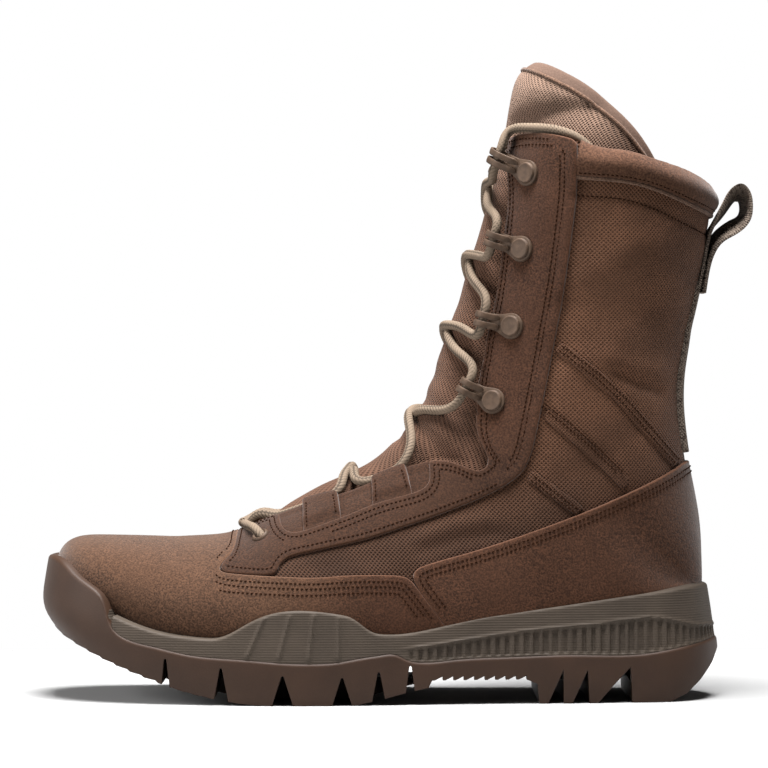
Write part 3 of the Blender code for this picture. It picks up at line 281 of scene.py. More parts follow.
class Curve:
    """A smooth curve through rows of numbers, read at a place along its knots."""

    def __init__(self, rows, closed=False, by_length=True):
        values = np.array(rows, float)
        if closed:
            values = np.vstack([values, values[:1]])
        self.knots = lengths_along(values) if by_length else np.arange(len(values), dtype=float)
        self.values = values
        self.bends = spline_slopes(self.knots, values[:-1] if closed else values, closed)
        self.end = self.knots[-1]

    def at(self, place):
        place = np.asarray(place, float)
        i = np.clip(np.searchsorted(self.knots, place, side="right") - 1, 0, len(self.knots) - 2)
        step = (self.knots[i + 1] - self.knots[i])[..., None]
        b = (place - self.knots[i])[..., None] / step
        a = 1 - b
        line = a * self.values[i] + b * self.values[i + 1]
        curve = (a**3 - a) * self.bends[i] + (b**3 - b) * self.bends[i + 1]
        return line + curve * step**2 / 6


def even_curve(rows, count):
    """Points at even steps of a smooth curve's knots."""
    curve = Curve(rows)
    return curve.at(np.linspace(0, curve.end, count))


def unit(vectors):
    """Vectors brought to a length of one."""
    return vectors / np.linalg.norm(vectors, axis=-1, keepdims=True)


def read(table, place):
    """A table of places and values, read between its rows."""
    return np.interp(place, *zip(*table))


def soft_step(value):
    value = np.clip(value, 0, 1)
    return value * value * (3 - 2 * value)


def signed_power(value, power):
    return np.sign(value) * np.abs(value) ** power


SECTION_CURVE = Curve(SECTIONS, by_length=False)
LAST_ROW = len(SECTIONS) - 1
HALF_TURN = 180.0         # degrees that each section of the shaft turns through
WRAP_FROM = 15.0          # from this section on the turn into the back of the heel is eased
WRAP_EASE = 0.4           # over so many sections
WRAP_SAMPLES = 5


def limited(u, wrap):
    """The angle that a section turns through: half a turn on the shaft, and at most that below it."""
    return np.where(u >= FIRST_BACK_ROW, HALF_TURN, np.minimum(wrap, HALF_TURN))


def section(u):
    """The columns of the section table at u, by name."""
    values = SECTION_CURVE.at(np.clip(u, 0, LAST_ROW))
    found = {name: values[..., i] for i, name in enumerate(SECTION_COLUMNS)}
    u = np.asarray(u, float)
    found["wrap"] = limited(u, found["wrap"])
    near = (u > WRAP_FROM) & (u < FIRST_BACK_ROW)
    if near.any():
        wraps = []
        for share in np.linspace(0, WRAP_EASE, WRAP_SAMPLES):
            ahead = u[near] + share * soft_step(u[near] - WRAP_FROM)
            wrap = SECTION_CURVE.at(ahead)[..., SECTION_COLUMNS.index("wrap")]
            wraps.append(limited(ahead, wrap))
        found["wrap"][near] = np.mean(wraps, axis=0)
    return found


def bare_point(u, v, side):
    """A point of the upper's outer wall: v is 0 on the ridge and 1 at the base."""
    row = section(u)
    angle = np.radians(row["wrap"])
    power = 2 / row["full"]
    run = 1 - signed_power(np.cos(v * angle), power)
    share = run / (1 - signed_power(np.cos(angle), power))
    reach = np.where(np.asarray(side) < 0, row["outer"], row["inner"]) - row["ridge_y"]
    x = row["ridge_x"] + (row["base_x"] - row["ridge_x"]) * share
    y = row["ridge_y"] + reach * np.abs(np.sin(v * angle)) ** power
    z = row["ridge_z"] + (row["base_z"] - row["ridge_z"]) * share
    return np.stack([x, y, z], axis=-1)


# Sections between which the turn into the back of the heel is eased, and how far it is spread.
HEEL_EASE = (13.6, 16.2, 18.0, 20.6)
HEEL_SPREAD = 2.1
HEEL_MOVES = np.linspace(-1, 1, 9)
HEEL_WEIGHTS = (1 - 0.8 * np.abs(HEEL_MOVES)) / 5.0   # they sum to one
HEEL_FADE = 24            # power of v by which the easing runs out at the base


def surface_point(u, v, side):
    """A point of the upper's outer wall, eased where the sections turn into the back."""
    u, v, side = np.broadcast_arrays(np.asarray(u, float), v, side)
    point = bare_point(u, v, side)
    spread = HEEL_SPREAD * np.interp(u, HEEL_EASE, (0, 1, 1, 0)) * (1 - np.clip(v, 0, 1) ** HEEL_FADE)
    near = spread > 0
    if near.any():
        eased = 0.0
        for move, weight in zip(HEEL_MOVES, HEEL_WEIGHTS):
            eased = eased + weight * bare_point(u[near] + spread[near] * move, v[near], side[near])
        point[near] = eased
    return point


def side_normal(u, v, side):
    """The outward normal of one half of the upper's outer wall."""
    small = 0.004
    v_in = np.clip(v, 2 * small, 1 - 2 * small)
    u_in = np.clip(u, small, LAST_ROW - small)
    along = surface_point(u_in + small, v_in, side) - surface_point(u_in - small, v_in, side)
    around = surface_point(u_in, v_in + small, side) - surface_point(u_in, v_in - small, side)
    return unit(np.cross(around, along) * -np.asarray(side)[..., None])


def surface_normal(u, v, side):
    """The outward normal of the upper's outer wall, the same for both halves where they join."""
    joined = side_normal(u, v, OUTER) + side_normal(u, v, -OUTER)
    joined = unit(joined * (1.0, 0.0, 1.0))
    on_seam = (v <= 0) | ((v >= 1) & (u >= FIRST_BACK_ROW))
    return np.where(np.asarray(on_seam)[..., None], joined, side_normal(u, v, side))


def wall_point(u, v, side, offset):
    """A point that stands off the upper's outer wall."""
    u, v, side, offset = np.broadcast_arrays(np.asarray(u, float), v, side, offset)
    return surface_point(u, v, side) + surface_normal(u, v, side) * offset[..., None]


FINE_U = np.linspace(0, LAST_ROW, 2801)   # rows close enough to look a spot up in
FINE_ROWS = section(FINE_U)


def locate(x, z):
    """The u and v of the upper's wall behind a point seen from the side."""
    ridge_x, ridge_z = FINE_ROWS["ridge_x"], FINE_ROWS["ridge_z"]
    run_x = FINE_ROWS["base_x"] - ridge_x
    run_z = FINE_ROWS["base_z"] - ridge_z
    across = run_x * (z - ridge_z) - run_z * (x - ridge_x)
    flips = np.nonzero(np.diff(np.sign(across)))[0]
    share = ((x - ridge_x) * run_x + (z - ridge_z) * run_z) / (run_x**2 + run_z**2)
    if len(flips):
        i = min(flips, key=lambda k: abs(share[k] - 0.5))
    else:
        i = int(np.argmin(np.abs(across)))
    u = FINE_U[i]
    row = section(u)
    angle = math.radians(row["wrap"])
    power = 2 / row["full"]
    rest = 1 - np.clip(share[i], 0, 1) * (1 - signed_power(np.cos(angle), power))
    turn = math.acos(float(np.clip(signed_power(rest, 1 / power), -1, 1)))
    return float(u), min(turn / angle, 1.0)


EDGE_SAMPLES = 160


def edge_table(points, key):
    """An edge drawn from the side as u and v pairs, sorted by u (key 0) or by v (key 1)."""
    pairs = np.array([locate(*spot) for spot in even_curve(points, EDGE_SAMPLES)])
    return pairs[np.argsort(pairs[:, key])]


THROAT_UV = edge_table(THROAT_EDGE, 0)
COLLAR_UV = edge_table(COLLAR_EDGE, 1)
TONGUE_UV = edge_table(TONGUE_TOP, 1)


def throat_v(u):
    """Where the wall starts at the throat."""
    return np.interp(u, THROAT_UV[:, 0], THROAT_UV[:, 1], left=0.0)


def top_u(v, table):
    return np.interp(v, table[:, 1], table[:, 0])


MM = 0.001                # metres in a millimetre


def to_metres(points):
    return (np.asarray(points, float) - (MIDDLE_X, MIDDLE_Y, 0.0)) * MM


PLAN_POINTS = (
    [(0.0, TOE_Y)]
    + [(x, outer) for x, outer, inner in SOLE_PLAN]
    + [(SOLE_LENGTH, HEEL_Y)]
    + [(x, inner) for x, outer, inner in SOLE_PLAN[::-1]]
)
PLAN = Curve(PLAN_POINTS, closed=True)
HEEL_KNOT = PLAN.knots[len(SOLE_PLAN) + 1]


def plan_places(stations):
    """Places round the plan: toe to heel on the outer side, then back on the inner side."""
    out = np.linspace(0, HEEL_KNOT, stations + 1)
    back = np.linspace(HEEL_KNOT, PLAN.end, stations + 1)
    return np.concatenate([out, back[1:-1]])


def plan_frame(places):
    """Points of the plan and the outward normals there."""
    points = PLAN.at(places)
    ahead = PLAN.at((places + 0.5) % PLAN.end) - PLAN.at((places - 0.5) % PLAN.end)
    normals = np.stack([-ahead[..., 1], ahead[..., 0]], axis=-1)
    return points, -unit(normals) * plan_turn()


def plan_turn():
    """Plus one or minus one, so that normals of the plan point out."""
    ring = PLAN.at(np.linspace(0, PLAN.end, 60, endpoint=False))
    ahead = np.roll(ring, -1, axis=0)
    area = np.sum(ring[:, 0] * ahead[:, 1] - ring[:, 1] * ahead[:, 0])
    return float(np.sign(area))


SPRING_MOST = 1.05        # the lift runs on a little in front of the toe


def tread_lift(x):
    """How far the toe spring lifts the tread at x."""
    return TOE_SPRING * np.clip(1 - np.asarray(x) / SPRING_LENGTH, 0, SPRING_MOST) ** SPRING_POWER


def wall_inset(points, normals, lean):
    """How far the wall stands in from the plan: less on the two long sides, more at the back."""
    share = np.interp(points[:, 0], UPRIGHT_FROM, (0.0, SIDE_UPRIGHT))
    return lean * (1 - share * np.abs(normals[:, 1]) + HEEL_LEAN * np.maximum(normals[:, 0], 0.0))


TONGUE_FROM = 7.7         # section rows of the tongue's foot and top
TONGUE_TO = 26.0
TONGUE_UNDER = -(WALL + 1.1)
TONGUE_AT_COLLAR = -(WALL + LACE + 1.2)
TONGUE_NARROW = 0.88      # the swell's width, as a share of the throat's
# How far the tongue stands out of the throat: section row, offset from the upper's wall.
TONGUE_SWELL = (
    (7.6, TONGUE_UNDER), (8.5, TONGUE_UNDER), (9.2, 0.0), (10, 2.2), (11, 2.8), (12, 3.8), (14, 4.4),
    (16, 5.2), (18, 5.0), (20, 4.0), (22, 1.4), (24, -0.2), (27, -0.6),
)
TONGUE_SIDES = ((7.6, TONGUE_UNDER), (20, TONGUE_UNDER), (22.5, TONGUE_AT_COLLAR), (27, TONGUE_AT_COLLAR))
# Width of the swell above the collar, where no throat holds it: section row, share of the section.
TONGUE_ROUND = ((7.6, 0.02), (24.3, 0.02), (25.4, 0.45), (27, 0.55))
# How far the tongue's edge lies past the throat's edge: section row, share of the section.
TONGUE_MARGIN = ((7.6, 0.1), (9, 0.1), (20, 0.1), (22.5, 0.2), (24, 0.57), (27, 0.6))


def tongue_offset(u, v):
    """How far the tongue's outer face stands off the upper's wall."""
    swell = read(TONGUE_SWELL, u)
    sides = read(TONGUE_SIDES, u)
    edge = np.maximum(TONGUE_NARROW * throat_v(u), read(TONGUE_ROUND, u))
    inside = np.clip(1 - (v / edge) ** 2, 0, 1)
    return sides + (swell - sides) * inside


def side_frame(x, z, tilt, side, offset):
    """Origin and axes on the upper's side: forward along the tilt, across, and out."""
    u, v = locate(x, z)
    side = np.float64(side)
    origin = wall_point(u, v, side, offset)
    out = surface_normal(np.float64(u), np.float64(v), side)
    way = np.array([-math.cos(math.radians(tilt)), 0.0, math.sin(math.radians(tilt))])
    across = unit(np.cross(out, way))
    forward = np.cross(across, out)
    return origin, forward, across, out


def placed(axes, points):
    origin, forward, across, out = axes
    return [origin + a * forward + b * across + c * out for a, b, c in points]


def arc(centre_a, centre_b, radius, start, end, count):
    """Points of an arc, angles in degrees."""
    turns = np.radians(np.linspace(start, end, count))
    return [(centre_a + radius * math.cos(t), centre_b + radius * math.sin(t)) for t in turns]


# Camera and light

CAMERA_X = 152.2          # in the boot's own millimetres
CAMERA_HEIGHT = 0.1385    # metres
CAMERA_AWAY = 1.5
CAMERA_LENS = 158.0
SENSOR = 36.0
# Sine of the height where the walls end and where the ceiling starts, and the light of both.
ROOM = (0.13, 0.3, 1.0, 0.08)
# The wall behind the boot is bright, and the wall behind the camera dimmer: way in Y and share.
FAR_WALL = (-0.4, 0.2, 0.3, 1.0)
# Soft lights: name, place and width in metres, power in watts.
LIGHTS = (
    ("Overhead", (0.02, -0.19, 1.3), 0.65, 66.0),
    ("Toe", (-0.6, -0.25, 0.3), 0.3, 3.0),
)
LIGHT_AIM = 0.12          # height in metres that the lights point at


def new_item(name, data):
    item = bpy.data.objects.new(name, data)
    bpy.context.collection.objects.link(item)
    return item


def make_camera():
    camera = new_item("Camera", bpy.data.cameras.new("Camera"))
    camera.data.lens = CAMERA_LENS
    camera.data.sensor_width = SENSOR
    camera.location = ((CAMERA_X - MIDDLE_X) * MM, -CAMERA_AWAY, CAMERA_HEIGHT)
    camera.rotation_euler = (math.radians(90), 0.0, 0.0)
    bpy.context.scene.camera = camera


def make_light():
    """A room with white walls and a dim ceiling, and the soft lights."""
    scene = bpy.context.scene
    scene.view_settings.view_transform = "Standard"
    scene.world = bpy.data.worlds.new("Room")
    scene.world.use_nodes = True
    room = Nodes(scene.world.node_tree)
    background = room.tree.nodes["Background"]
    room.feed(background.inputs["Color"], (1.0, 1.0, 1.0))
    way = room.parts(room.node("ShaderNodeTexCoord", {}).outputs["Generated"])
    wall = room.ramp(room.count("ABSOLUTE", way["Z"]), *ROOM)
    far = room.ramp(way["Y"], *FAR_WALL)
    room.feed(background.inputs["Strength"], room.count("MULTIPLY", wall, far))
    for name, spot, size, power in LIGHTS:
        lamp = bpy.data.lights.new(name, "AREA")
        lamp.energy = power
        lamp.size = size
        item = new_item(name, lamp)
        item.location = spot
        aim = -item.location
        aim.z += LIGHT_AIM
        item.rotation_euler = aim.to_track_quat("-Z", "Y").to_euler()


# Materials

MIX_INPUTS = (0, 6, 7)    # sockets of a mix node for colours: share, first and second
MIX_OUTPUT = 2


class Nodes:
    """Short ways to add nodes to a tree."""

    def __init__(self, tree):
        self.tree = tree

    def feed(self, socket, value):
        """Link an output to a socket, or set the socket to a number or a colour."""
        if isinstance(value, bpy.types.NodeSocket):
            self.tree.links.new(value, socket)
        else:
            socket.default_value = (*value, 1.0) if isinstance(value, tuple) else value

    def node(self, kind, inputs, **settings):
        made = self.tree.nodes.new(kind)
        for key, value in settings.items():
            setattr(made, key, value)
        for key, value in inputs.items():
            self.feed(made.inputs[key], value)
        return made

    def parts(self, vector):
        return self.node("ShaderNodeSeparateXYZ", {"Vector": vector}).outputs

    def count(self, operation, first, second=0.0):
        return self.node("ShaderNodeMath", {0: first, 1: second}, operation=operation).outputs[0]

    def ramp(self, value, low, high, out_low=0.0, out_high=1.0):
        inputs = {"Value": value, "From Min": low, "From Max": high, "To Min": out_low, "To Max": out_high}
        return self.node("ShaderNodeMapRange", inputs, interpolation_type="SMOOTHSTEP").outputs[0]


class Look(Nodes):
    """A Principled material with its tone and bumps."""

    def __init__(self, name, roughness, **inputs):
        self.material = bpy.data.materials.new(name)
        self.material.use_nodes = True
        super().__init__(self.material.node_tree)
        self.shader = self.tree.nodes["Principled BSDF"]
        self.shader.inputs["Roughness"].default_value = roughness
        for key, value in inputs.items():
            self.shader.inputs[key.replace("_", " ")].default_value = value
        self.place = self.node("ShaderNodeTexCoord", {}).outputs["Object"]
        self.normal = None

    def noise(self, size, detail):
        """Noise from nought to one whose spots are about a size, in millimetres, across."""
        inputs = {"Vector": self.place, "Scale": 1 / (size * MM), "Detail": detail}
        return self.node("ShaderNodeTexNoise", inputs).outputs[0]

    def mix(self, share, first, second, blend="MIX"):
        inputs = dict(zip(MIX_INPUTS, (share, first, second)))
        return self.node("ShaderNodeMix", inputs, data_type="RGBA", blend_type=blend).outputs[MIX_OUTPUT]

    def attribute(self, name, output="Fac"):
        return self.node("ShaderNodeAttribute", {}, attribute_name=name).outputs[output]

    def bump(self, height, depth, strength):
        """Bump of a depth in millimetres, on top of what is there."""
        inputs = {"Height": height, "Distance": depth * MM, "Strength": strength}
        if self.normal:
            inputs["Normal"] = self.normal
        self.normal = self.node("ShaderNodeBump", inputs).outputs[0]

    def by_level(self, tone, low, high, low_tint, high_tint, axis=2):
        """A tone times one tint before a place on an axis and another past a second one, in metres. It
        paints light and shade by place.
        """
        tint = self.mix(self.ramp(self.parts(self.place)[axis], low, high), low_tint, high_tint)
        return self.mix(1.0, tone, tint, "MULTIPLY")

    def bevel(self, radius):
        self.normal = self.node("ShaderNodeBevel", {"Radius": radius * MM}, samples=4).outputs[0]

    def done(self, colour):
        self.feed(self.shader.inputs["Base Color"], colour)
        if self.normal:
            self.feed(self.shader.inputs["Normal"], self.normal)
        return self.material


def scaled(colour, share):
    return tuple(channel * share for channel in colour)


def suede_look(name, colour, painted_light_and_shade=None):
    """Napped leather: fine specks, brushed patches, and a lighter line along cut edges. Tints by height or
    along the boot, when given, are painted light and shade.
    """
    look = Look(name, 0.95, Specular_IOR_Level=0.06, Sheen_Weight=0.17, Sheen_Roughness=0.5)
    speck = look.noise(0.8, 4.0)
    nap = look.noise(3.0, 3.0)
    patch = look.noise(26.0, 3.0)
    tone = look.mix(look.ramp(speck, 0.32, 0.68), scaled(colour, 0.45), scaled(colour, 1.7))
    tone = look.mix(look.ramp(nap, 0.3, 0.7, 0.0, 0.4), tone, scaled(colour, 0.72))
    tone = look.mix(look.ramp(patch, 0.35, 0.7, 0.0, 0.35), tone, scaled(colour, 1.3))
    cut = look.ramp(look.attribute("edge"), 0.15, 0.75, 0.75, 0.0)
    tone = look.mix(cut, tone, scaled(colour, 1.9))
    # Painted light and shade: the tone tinted by height or along the boot.
    if painted_light_and_shade:
        tone = look.by_level(tone, *painted_light_and_shade)
    look.bump(nap, 0.5, 0.35)
    look.bump(speck, 0.35, 0.6)
    return look.done(tone)


def weave_height(look, pitch):
    """A dense weave, from nought in the holes between its yarns to one on the yarns."""
    spot = look.parts(look.attribute("weave", "Vector"))
    waves = []
    for axis in (0, 1):
        turn = look.count("MULTIPLY", spot[axis], math.pi / pitch)
        waves.append(look.count("ABSOLUTE", look.count("COSINE", turn)))
    hole = look.count("POWER", look.count("MULTIPLY", waves[0], waves[1]), 1.4)
    return look.count("SUBTRACT", 1.0, hole)


def nylon_look(name, colour, pitch, *painted_light_and_shade):
    """Coarse woven nylon, with painted light and shade. Each of the painted light and shade tints holds
    two places in metres and the tint at each.
    """
    look = Look(name, 0.7, Specular_IOR_Level=0.06, Sheen_Weight=0.06, Sheen_Roughness=0.5)
    yarn = weave_height(look, pitch)
    speck = look.noise(1.3, 2.0)
    patch = look.noise(22.0, 3.0)
    tone = look.mix(look.ramp(yarn, 0.15, 0.75), scaled(colour, 0.3), scaled(colour, 1.32))
    tone = look.mix(look.ramp(speck, 0.45, 0.75, 0.0, 0.3), tone, scaled(colour, 1.7))
    tone = look.mix(look.ramp(patch, 0.35, 0.7, 0.0, 0.5), tone, scaled(colour, 0.55))
    # Painted light and shade: the tone tinted by height or along the boot.
    for level in painted_light_and_shade:
        tone = look.by_level(tone, *level)
    look.bump(yarn, 0.4, 0.9)
    return look.done(tone)


def lining_look(name, colour):
    look = Look(name, 0.9, Specular_IOR_Level=0.1)
    speck = look.noise(0.9, 2.0)
    look.bump(speck, 0.3, 0.4)
    return look.done(look.mix(speck, scaled(colour, 0.7), scaled(colour, 1.3)))


HATCH_TURN = 2 * math.pi / 0.0011   # a line each 1.1 mm


def rubber_look(name, colour, roughness, hatch=0.0):
    """Moulded rubber or foam; hatch is the depth of fine level lines in it."""
    look = Look(name, roughness, Specular_IOR_Level=0.25)
    look.bevel(0.7)
    grain = look.noise(0.8, 2.0)
    patch = look.noise(18.0, 3.0)
    tone = look.mix(look.ramp(patch, 0.3, 0.7), scaled(colour, 0.88), scaled(colour, 1.12))
    tone = look.mix(look.ramp(grain, 0.3, 0.75, 0.0, 0.25), tone, scaled(colour, 1.3))
    look.bump(grain, 0.12, 0.35)
    if hatch:
        level = look.parts(look.place)["Z"]
        look.bump(look.count("SINE", look.count("MULTIPLY", level, HATCH_TURN)), hatch, 0.6)
    return look.done(tone)


def webbing_look(name, colour, dark):
    """Ribbed webbing: fine ribs across it, flecked with a darker yarn."""
    look = Look(name, 0.85, Specular_IOR_Level=0.1)
    rib = weave_height(look, 1.1)
    fleck = look.noise(1.4, 1.0)
    tone = look.mix(look.ramp(rib, 0.1, 0.8), scaled(colour, 0.6), scaled(colour, 1.15))
    tone = look.mix(look.ramp(fleck, 0.56, 0.62, 0.0, 0.75), tone, dark)
    look.bump(rib, 0.4, 0.8)
    return look.done(tone)


def lace_look(name, colour):
    look = Look(name, 0.8, Specular_IOR_Level=0.15)
    height = look.parts(look.attribute("braid", "Vector"))["Z"]
    fleck = look.noise(0.8, 2.0)
    tone = look.mix(look.ramp(height, 0.1, 0.75), scaled(colour, 0.3), scaled(colour, 1.25))
    tone = look.mix(look.ramp(fleck, 0.4, 0.7, 0.0, 0.3), tone, scaled(colour, 0.7))
    return look.done(tone)


def metal_look(name, colour):
    """Painted metal hooks, a little worn."""
    look = Look(name, 0.58, Metallic=0.2, Specular_IOR_Level=0.3)
    look.bevel(0.35)
    wear = look.noise(2.5, 4.0)
    tone = look.mix(look.ramp(wear, 0.35, 0.7), scaled(colour, 0.85), scaled(colour, 1.25))
    return look.done(tone)


def thread_look(name, colour):
    return Look(name, 0.95, Specular_IOR_Level=0.0).done(colour)


LOOKS = {}
SUEDE_TONE = (0.05, 0.0215, 0.0113)
NYLON_TONE = (0.072, 0.034, 0.0193)
SAME = (1.0, 1.0, 1.0)    # a tint that leaves the tone as it is
PAINTED_SHADE_BELOW = (0.062, 0.14, scaled(SAME, 0.52))   # heights in metres, and the lower tint, of painted shade
ALONG = 0                 # painted light and shade tints run along the boot on this axis


def make_looks():
    LOOKS.update(
        suede=suede_look("suede", SUEDE_TONE),
        # Painted light on the vamp: the toe lighter and paler in front, and painted shade, darker, towards
        # the back.
        vamp=suede_look("vamp_suede_painted_light", SUEDE_TONE,
                        (-0.06, 0.0, (1.16, 1.33, 1.4), (0.88, 0.85, 0.82), ALONG)),
        # Painted shade: the eyestays, their under-layers and the keepers are darker low on the boot.
        stay=suede_look("stay_suede_painted_shade", SUEDE_TONE, (0.092, 0.13, (0.6, 0.6, 0.58), SAME)),
        # The cuff is a lighter, paler copy of the suede: painted light on the rolled top of the collar.
        cuff=suede_look("cuff_suede_painted_light", (0.072, 0.034, 0.0195)),
        # Painted shade darkens the nylon low on the boot and painted light lightens it high on the shaft,
        # and the same for the seams' strips.
        nylon=nylon_look("nylon", NYLON_TONE, 1.3, (*PAINTED_SHADE_BELOW, scaled(SAME, 1.42))),
        strip=nylon_look("nylon_strip", NYLON_TONE, 1.1, (*PAINTED_SHADE_BELOW, scaled(SAME, 1.18))),
        # Painted highlight: the tongue's top lighter and paler. Painted shade: the tongue darker towards
        # its back.
        tongue=nylon_look("tongue_nylon", (0.092, 0.0475, 0.03), 1.2,
                          (0.215, 0.262, SAME, (1.9, 2.35, 2.7)),
                          (0.08, 0.105, SAME, (0.5, 0.47, 0.45), ALONG)),
        satin=lining_look("tongue_trim", (0.11, 0.07, 0.053)),
        lining=lining_look("lining", (0.045, 0.03, 0.022)),
        insole=lining_look("insole", (0.05, 0.04, 0.032)),
        midsole=rubber_look("midsole", (0.05, 0.037, 0.0268), 0.68, 0.06),
        outsole=rubber_look("outsole", (0.034, 0.0163, 0.0088), 0.56),
        webbing=webbing_look("webbing", (0.16, 0.126, 0.101), (0.04, 0.028, 0.022)),
        lace=lace_look("lace", (0.155, 0.115, 0.083)),
        metal=metal_look("hook_metal", (0.07, 0.042, 0.026)),
        thread=thread_look("thread", (0.022, 0.01, 0.0055)),
        piping=suede_look("piping", (0.105, 0.06, 0.04)),
    )


# Meshes

PIECES = []
JOIN_WITHIN = 0.00001     # metres
FAR_INSIDE = 9.0          # depth given to points that are clear of a cut edge


def add_piece(name, points, faces, looks, slot, nodes=(), numbers=None, indices=None, sharp=40):
    """A piece of the boot from points in millimetres, with doubled points joined."""
    mesh = bpy.data.meshes.new(name)
    mesh.from_pydata(to_metres(points).tolist(), [], [tuple(face) for face in faces])
    for key, values in (numbers or {}).items():
        values = np.asarray(values, np.float32)
        kind, field = ("FLOAT", "value") if values.ndim == 1 else ("FLOAT_VECTOR", "vector")
        mesh.attributes.new(key, kind, "POINT").data.foreach_set(field, values.ravel())
    for look in looks:
        mesh.materials.append(LOOKS[look])
    if indices is not None:
        mesh.polygons.foreach_set("material_index", np.asarray(indices, np.int32))
    tidy_mesh(mesh)
    mesh.shade_smooth()
    mesh.set_sharp_from_angle(angle=math.radians(sharp))
    item = new_item(name, mesh)
    PIECES.append((item, slot, nodes))
    return item


def tidy_mesh(mesh):
    """Join doubled points and turn the faces out."""
    shape = bmesh.new()
    shape.from_mesh(mesh)
    bmesh.ops.remove_doubles(shape, verts=shape.verts, dist=JOIN_WITHIN)
    bmesh.ops.recalc_face_normals(shape, faces=shape.faces)
    shape.to_mesh(mesh)
    shape.free()


def grid_quads(rows, columns, first=0, wrap=False):
    """Quads of a grid of points, closed round its columns if it wraps."""
    faces = []
    for i in range(rows - 1):
        for j in range(columns if wrap else columns - 1):
            k = (j + 1) % columns
            a = first + i * columns
            faces.append((a + j, a + k, a + columns + k, a + columns + j))
    return faces


def tube_faces(rows, columns):
    """Faces of a tube of rings of points, with an end face on its first and last ring."""
    last = (rows - 1) * columns
    ends = [tuple(range(columns)), tuple(range(last, last + columns))]
    return grid_quads(rows, columns, wrap=True) + ends


def no_edge(points):
    """Numbers for a piece without cut edges."""
    return {"edge": np.full(len(points), FAR_INSIDE)}


def rings_body(rings):
    """Points and faces of a closed body through a stack of rings, with strips across its ends."""
    rings = np.asarray(rings)
    painted_light_and_shade, count = rings.shape[:2]
    faces = grid_quads(painted_light_and_shade, count, wrap=True)
    for first in (0, (painted_light_and_shade - 1) * count):
        for i in range(count // 2):
            strip = [i, i + 1, count - i - 1, (count - i) % count]
            faces.append([first + k for k in dict.fromkeys(strip)])
    return rings.reshape(-1, 3), faces


def shell_faces(faces, low_points):
    """Faces of a closed wall between two sheets with the same faces, with a rim round their edges."""
    count = len(low_points)
    first_at = {}
    spots = np.round(low_points, 2).tolist()
    same = [first_at.setdefault(tuple(spot), i) for i, spot in enumerate(spots)]
    edges = {}
    for face in faces:
        for one, other in zip(face, tuple(face[1:]) + tuple(face[:1])):
            key = frozenset((same[one], same[other]))
            edges[key] = None if key in edges else (one, other)
    rim = [(b, a, a + count, b + count) for a, b in filter(None, edges.values()) if same[a] != same[b]]
    body = [tuple(face)[::-1] for face in faces] + [tuple(i + count for i in face) for face in faces]
    return body + rim


# The upper's surface with its creases

# Soft creases seen from the side: points, depth (below nought for a ridge) and half width.
FOLDS = (
    (((236, 219.4), (251, 218.2), (265, 215.8), (276, 212), (287, 207.5), (300, 203)), 0.9, 2.0),
    (((254, 143), (263, 138.6), (273, 135.5)), 1.5, 3.0),
    (((250, 150), (261, 146), (273, 145)), -0.7, 4.0),
    (((170, 73), (180, 77), (196, 80)), -0.6, 3.0),
    (((168, 66), (184, 71), (204, 74)), 0.7, 3.0),
    (((228, 96), (244, 103), (262, 118)), 0.6, 5.0),
    (((232, 142), (242, 149), (253, 157)), -1.1, 8.0),
    (((231, 172), (247, 183), (263, 194)), 0.8, 6.0),
    (((243, 183), (256, 193), (268, 201)), -1.2, 9.0),
    (((262, 168), (272, 163), (284, 164)), 0.5, 6.0),
    (((120, 58), (134, 62), (150, 63)), 0.5, 4.0),
    (((20, 50), (40, 54), (62, 50)), 0.4, 8.0),
    (((60, 64), (74, 58), (88, 50)), 0.4, 5.0),
)


WAVES = 0.25              # depth of the slow waves all over the upper


def nearest(x, z, start, run):
    """Distance of points from the nearest of some straight lines, seen from the side."""
    away_x = x[..., None] - start[:, 0]
    away_z = z[..., None] - start[:, 1]
    share = np.clip((away_x * run[:, 0] + away_z * run[:, 1]) / np.sum(run**2, axis=1), 0, 1)
    gap = (away_x - run[:, 0] * share) ** 2 + (away_z - run[:, 1] * share) ** 2
    return np.sqrt(gap.min(axis=-1))


def line_distance(x, z, line):
    """Distance of points from an open line of points, seen from the side."""
    line = np.asarray(line, float)
    return nearest(x, z, line[:-1], np.diff(line, axis=0))


def fold_depth(x, z):
    depth = WAVES * np.sin(x * 0.16 + 0.7) * np.sin(z * 0.13 + x * 0.05)
    for line, deep, width in FOLDS:
        depth = depth + deep * np.exp(-(line_distance(x, z, line) / width) ** 2)
    return depth


def upper_point(u, v, side, offset):
    """A point that stands off the upper's outer wall, creases included."""
    u, v, offset = np.broadcast_arrays(np.asarray(u, float), v, offset)
    bare = surface_point(u, v, side)
    return wall_point(u, v, side, offset - fold_depth(bare[..., 0], bare[..., 2]))


def row_steps(first, last, step):
    """Section rows from first to last whose points lie about a step apart."""
    u = np.linspace(first, last, 800)
    lines = surface_point(u[:, None], np.linspace(0, 1, 9)[None, :], OUTER)
    pace = np.linalg.norm(np.diff(lines, axis=0), axis=2).max(axis=1)
    reach = np.concatenate([[0.0], np.cumsum(pace)])
    return np.interp(np.linspace(0, reach[-1], int(reach[-1] / step) + 2), reach, u)


UPPER_STEP = 2.2
UPPER_COLUMNS = 52
THROAT_TURN = np.linspace(12, 14.4, 40)   # closer rows, where the throat's edge turns up
UPPER_TOP_ROW = 24.0
BACK_TURN = 0.5           # share of the way across that the cloth runs on round the back
COLLAR_BLEND_ROW = 20.0


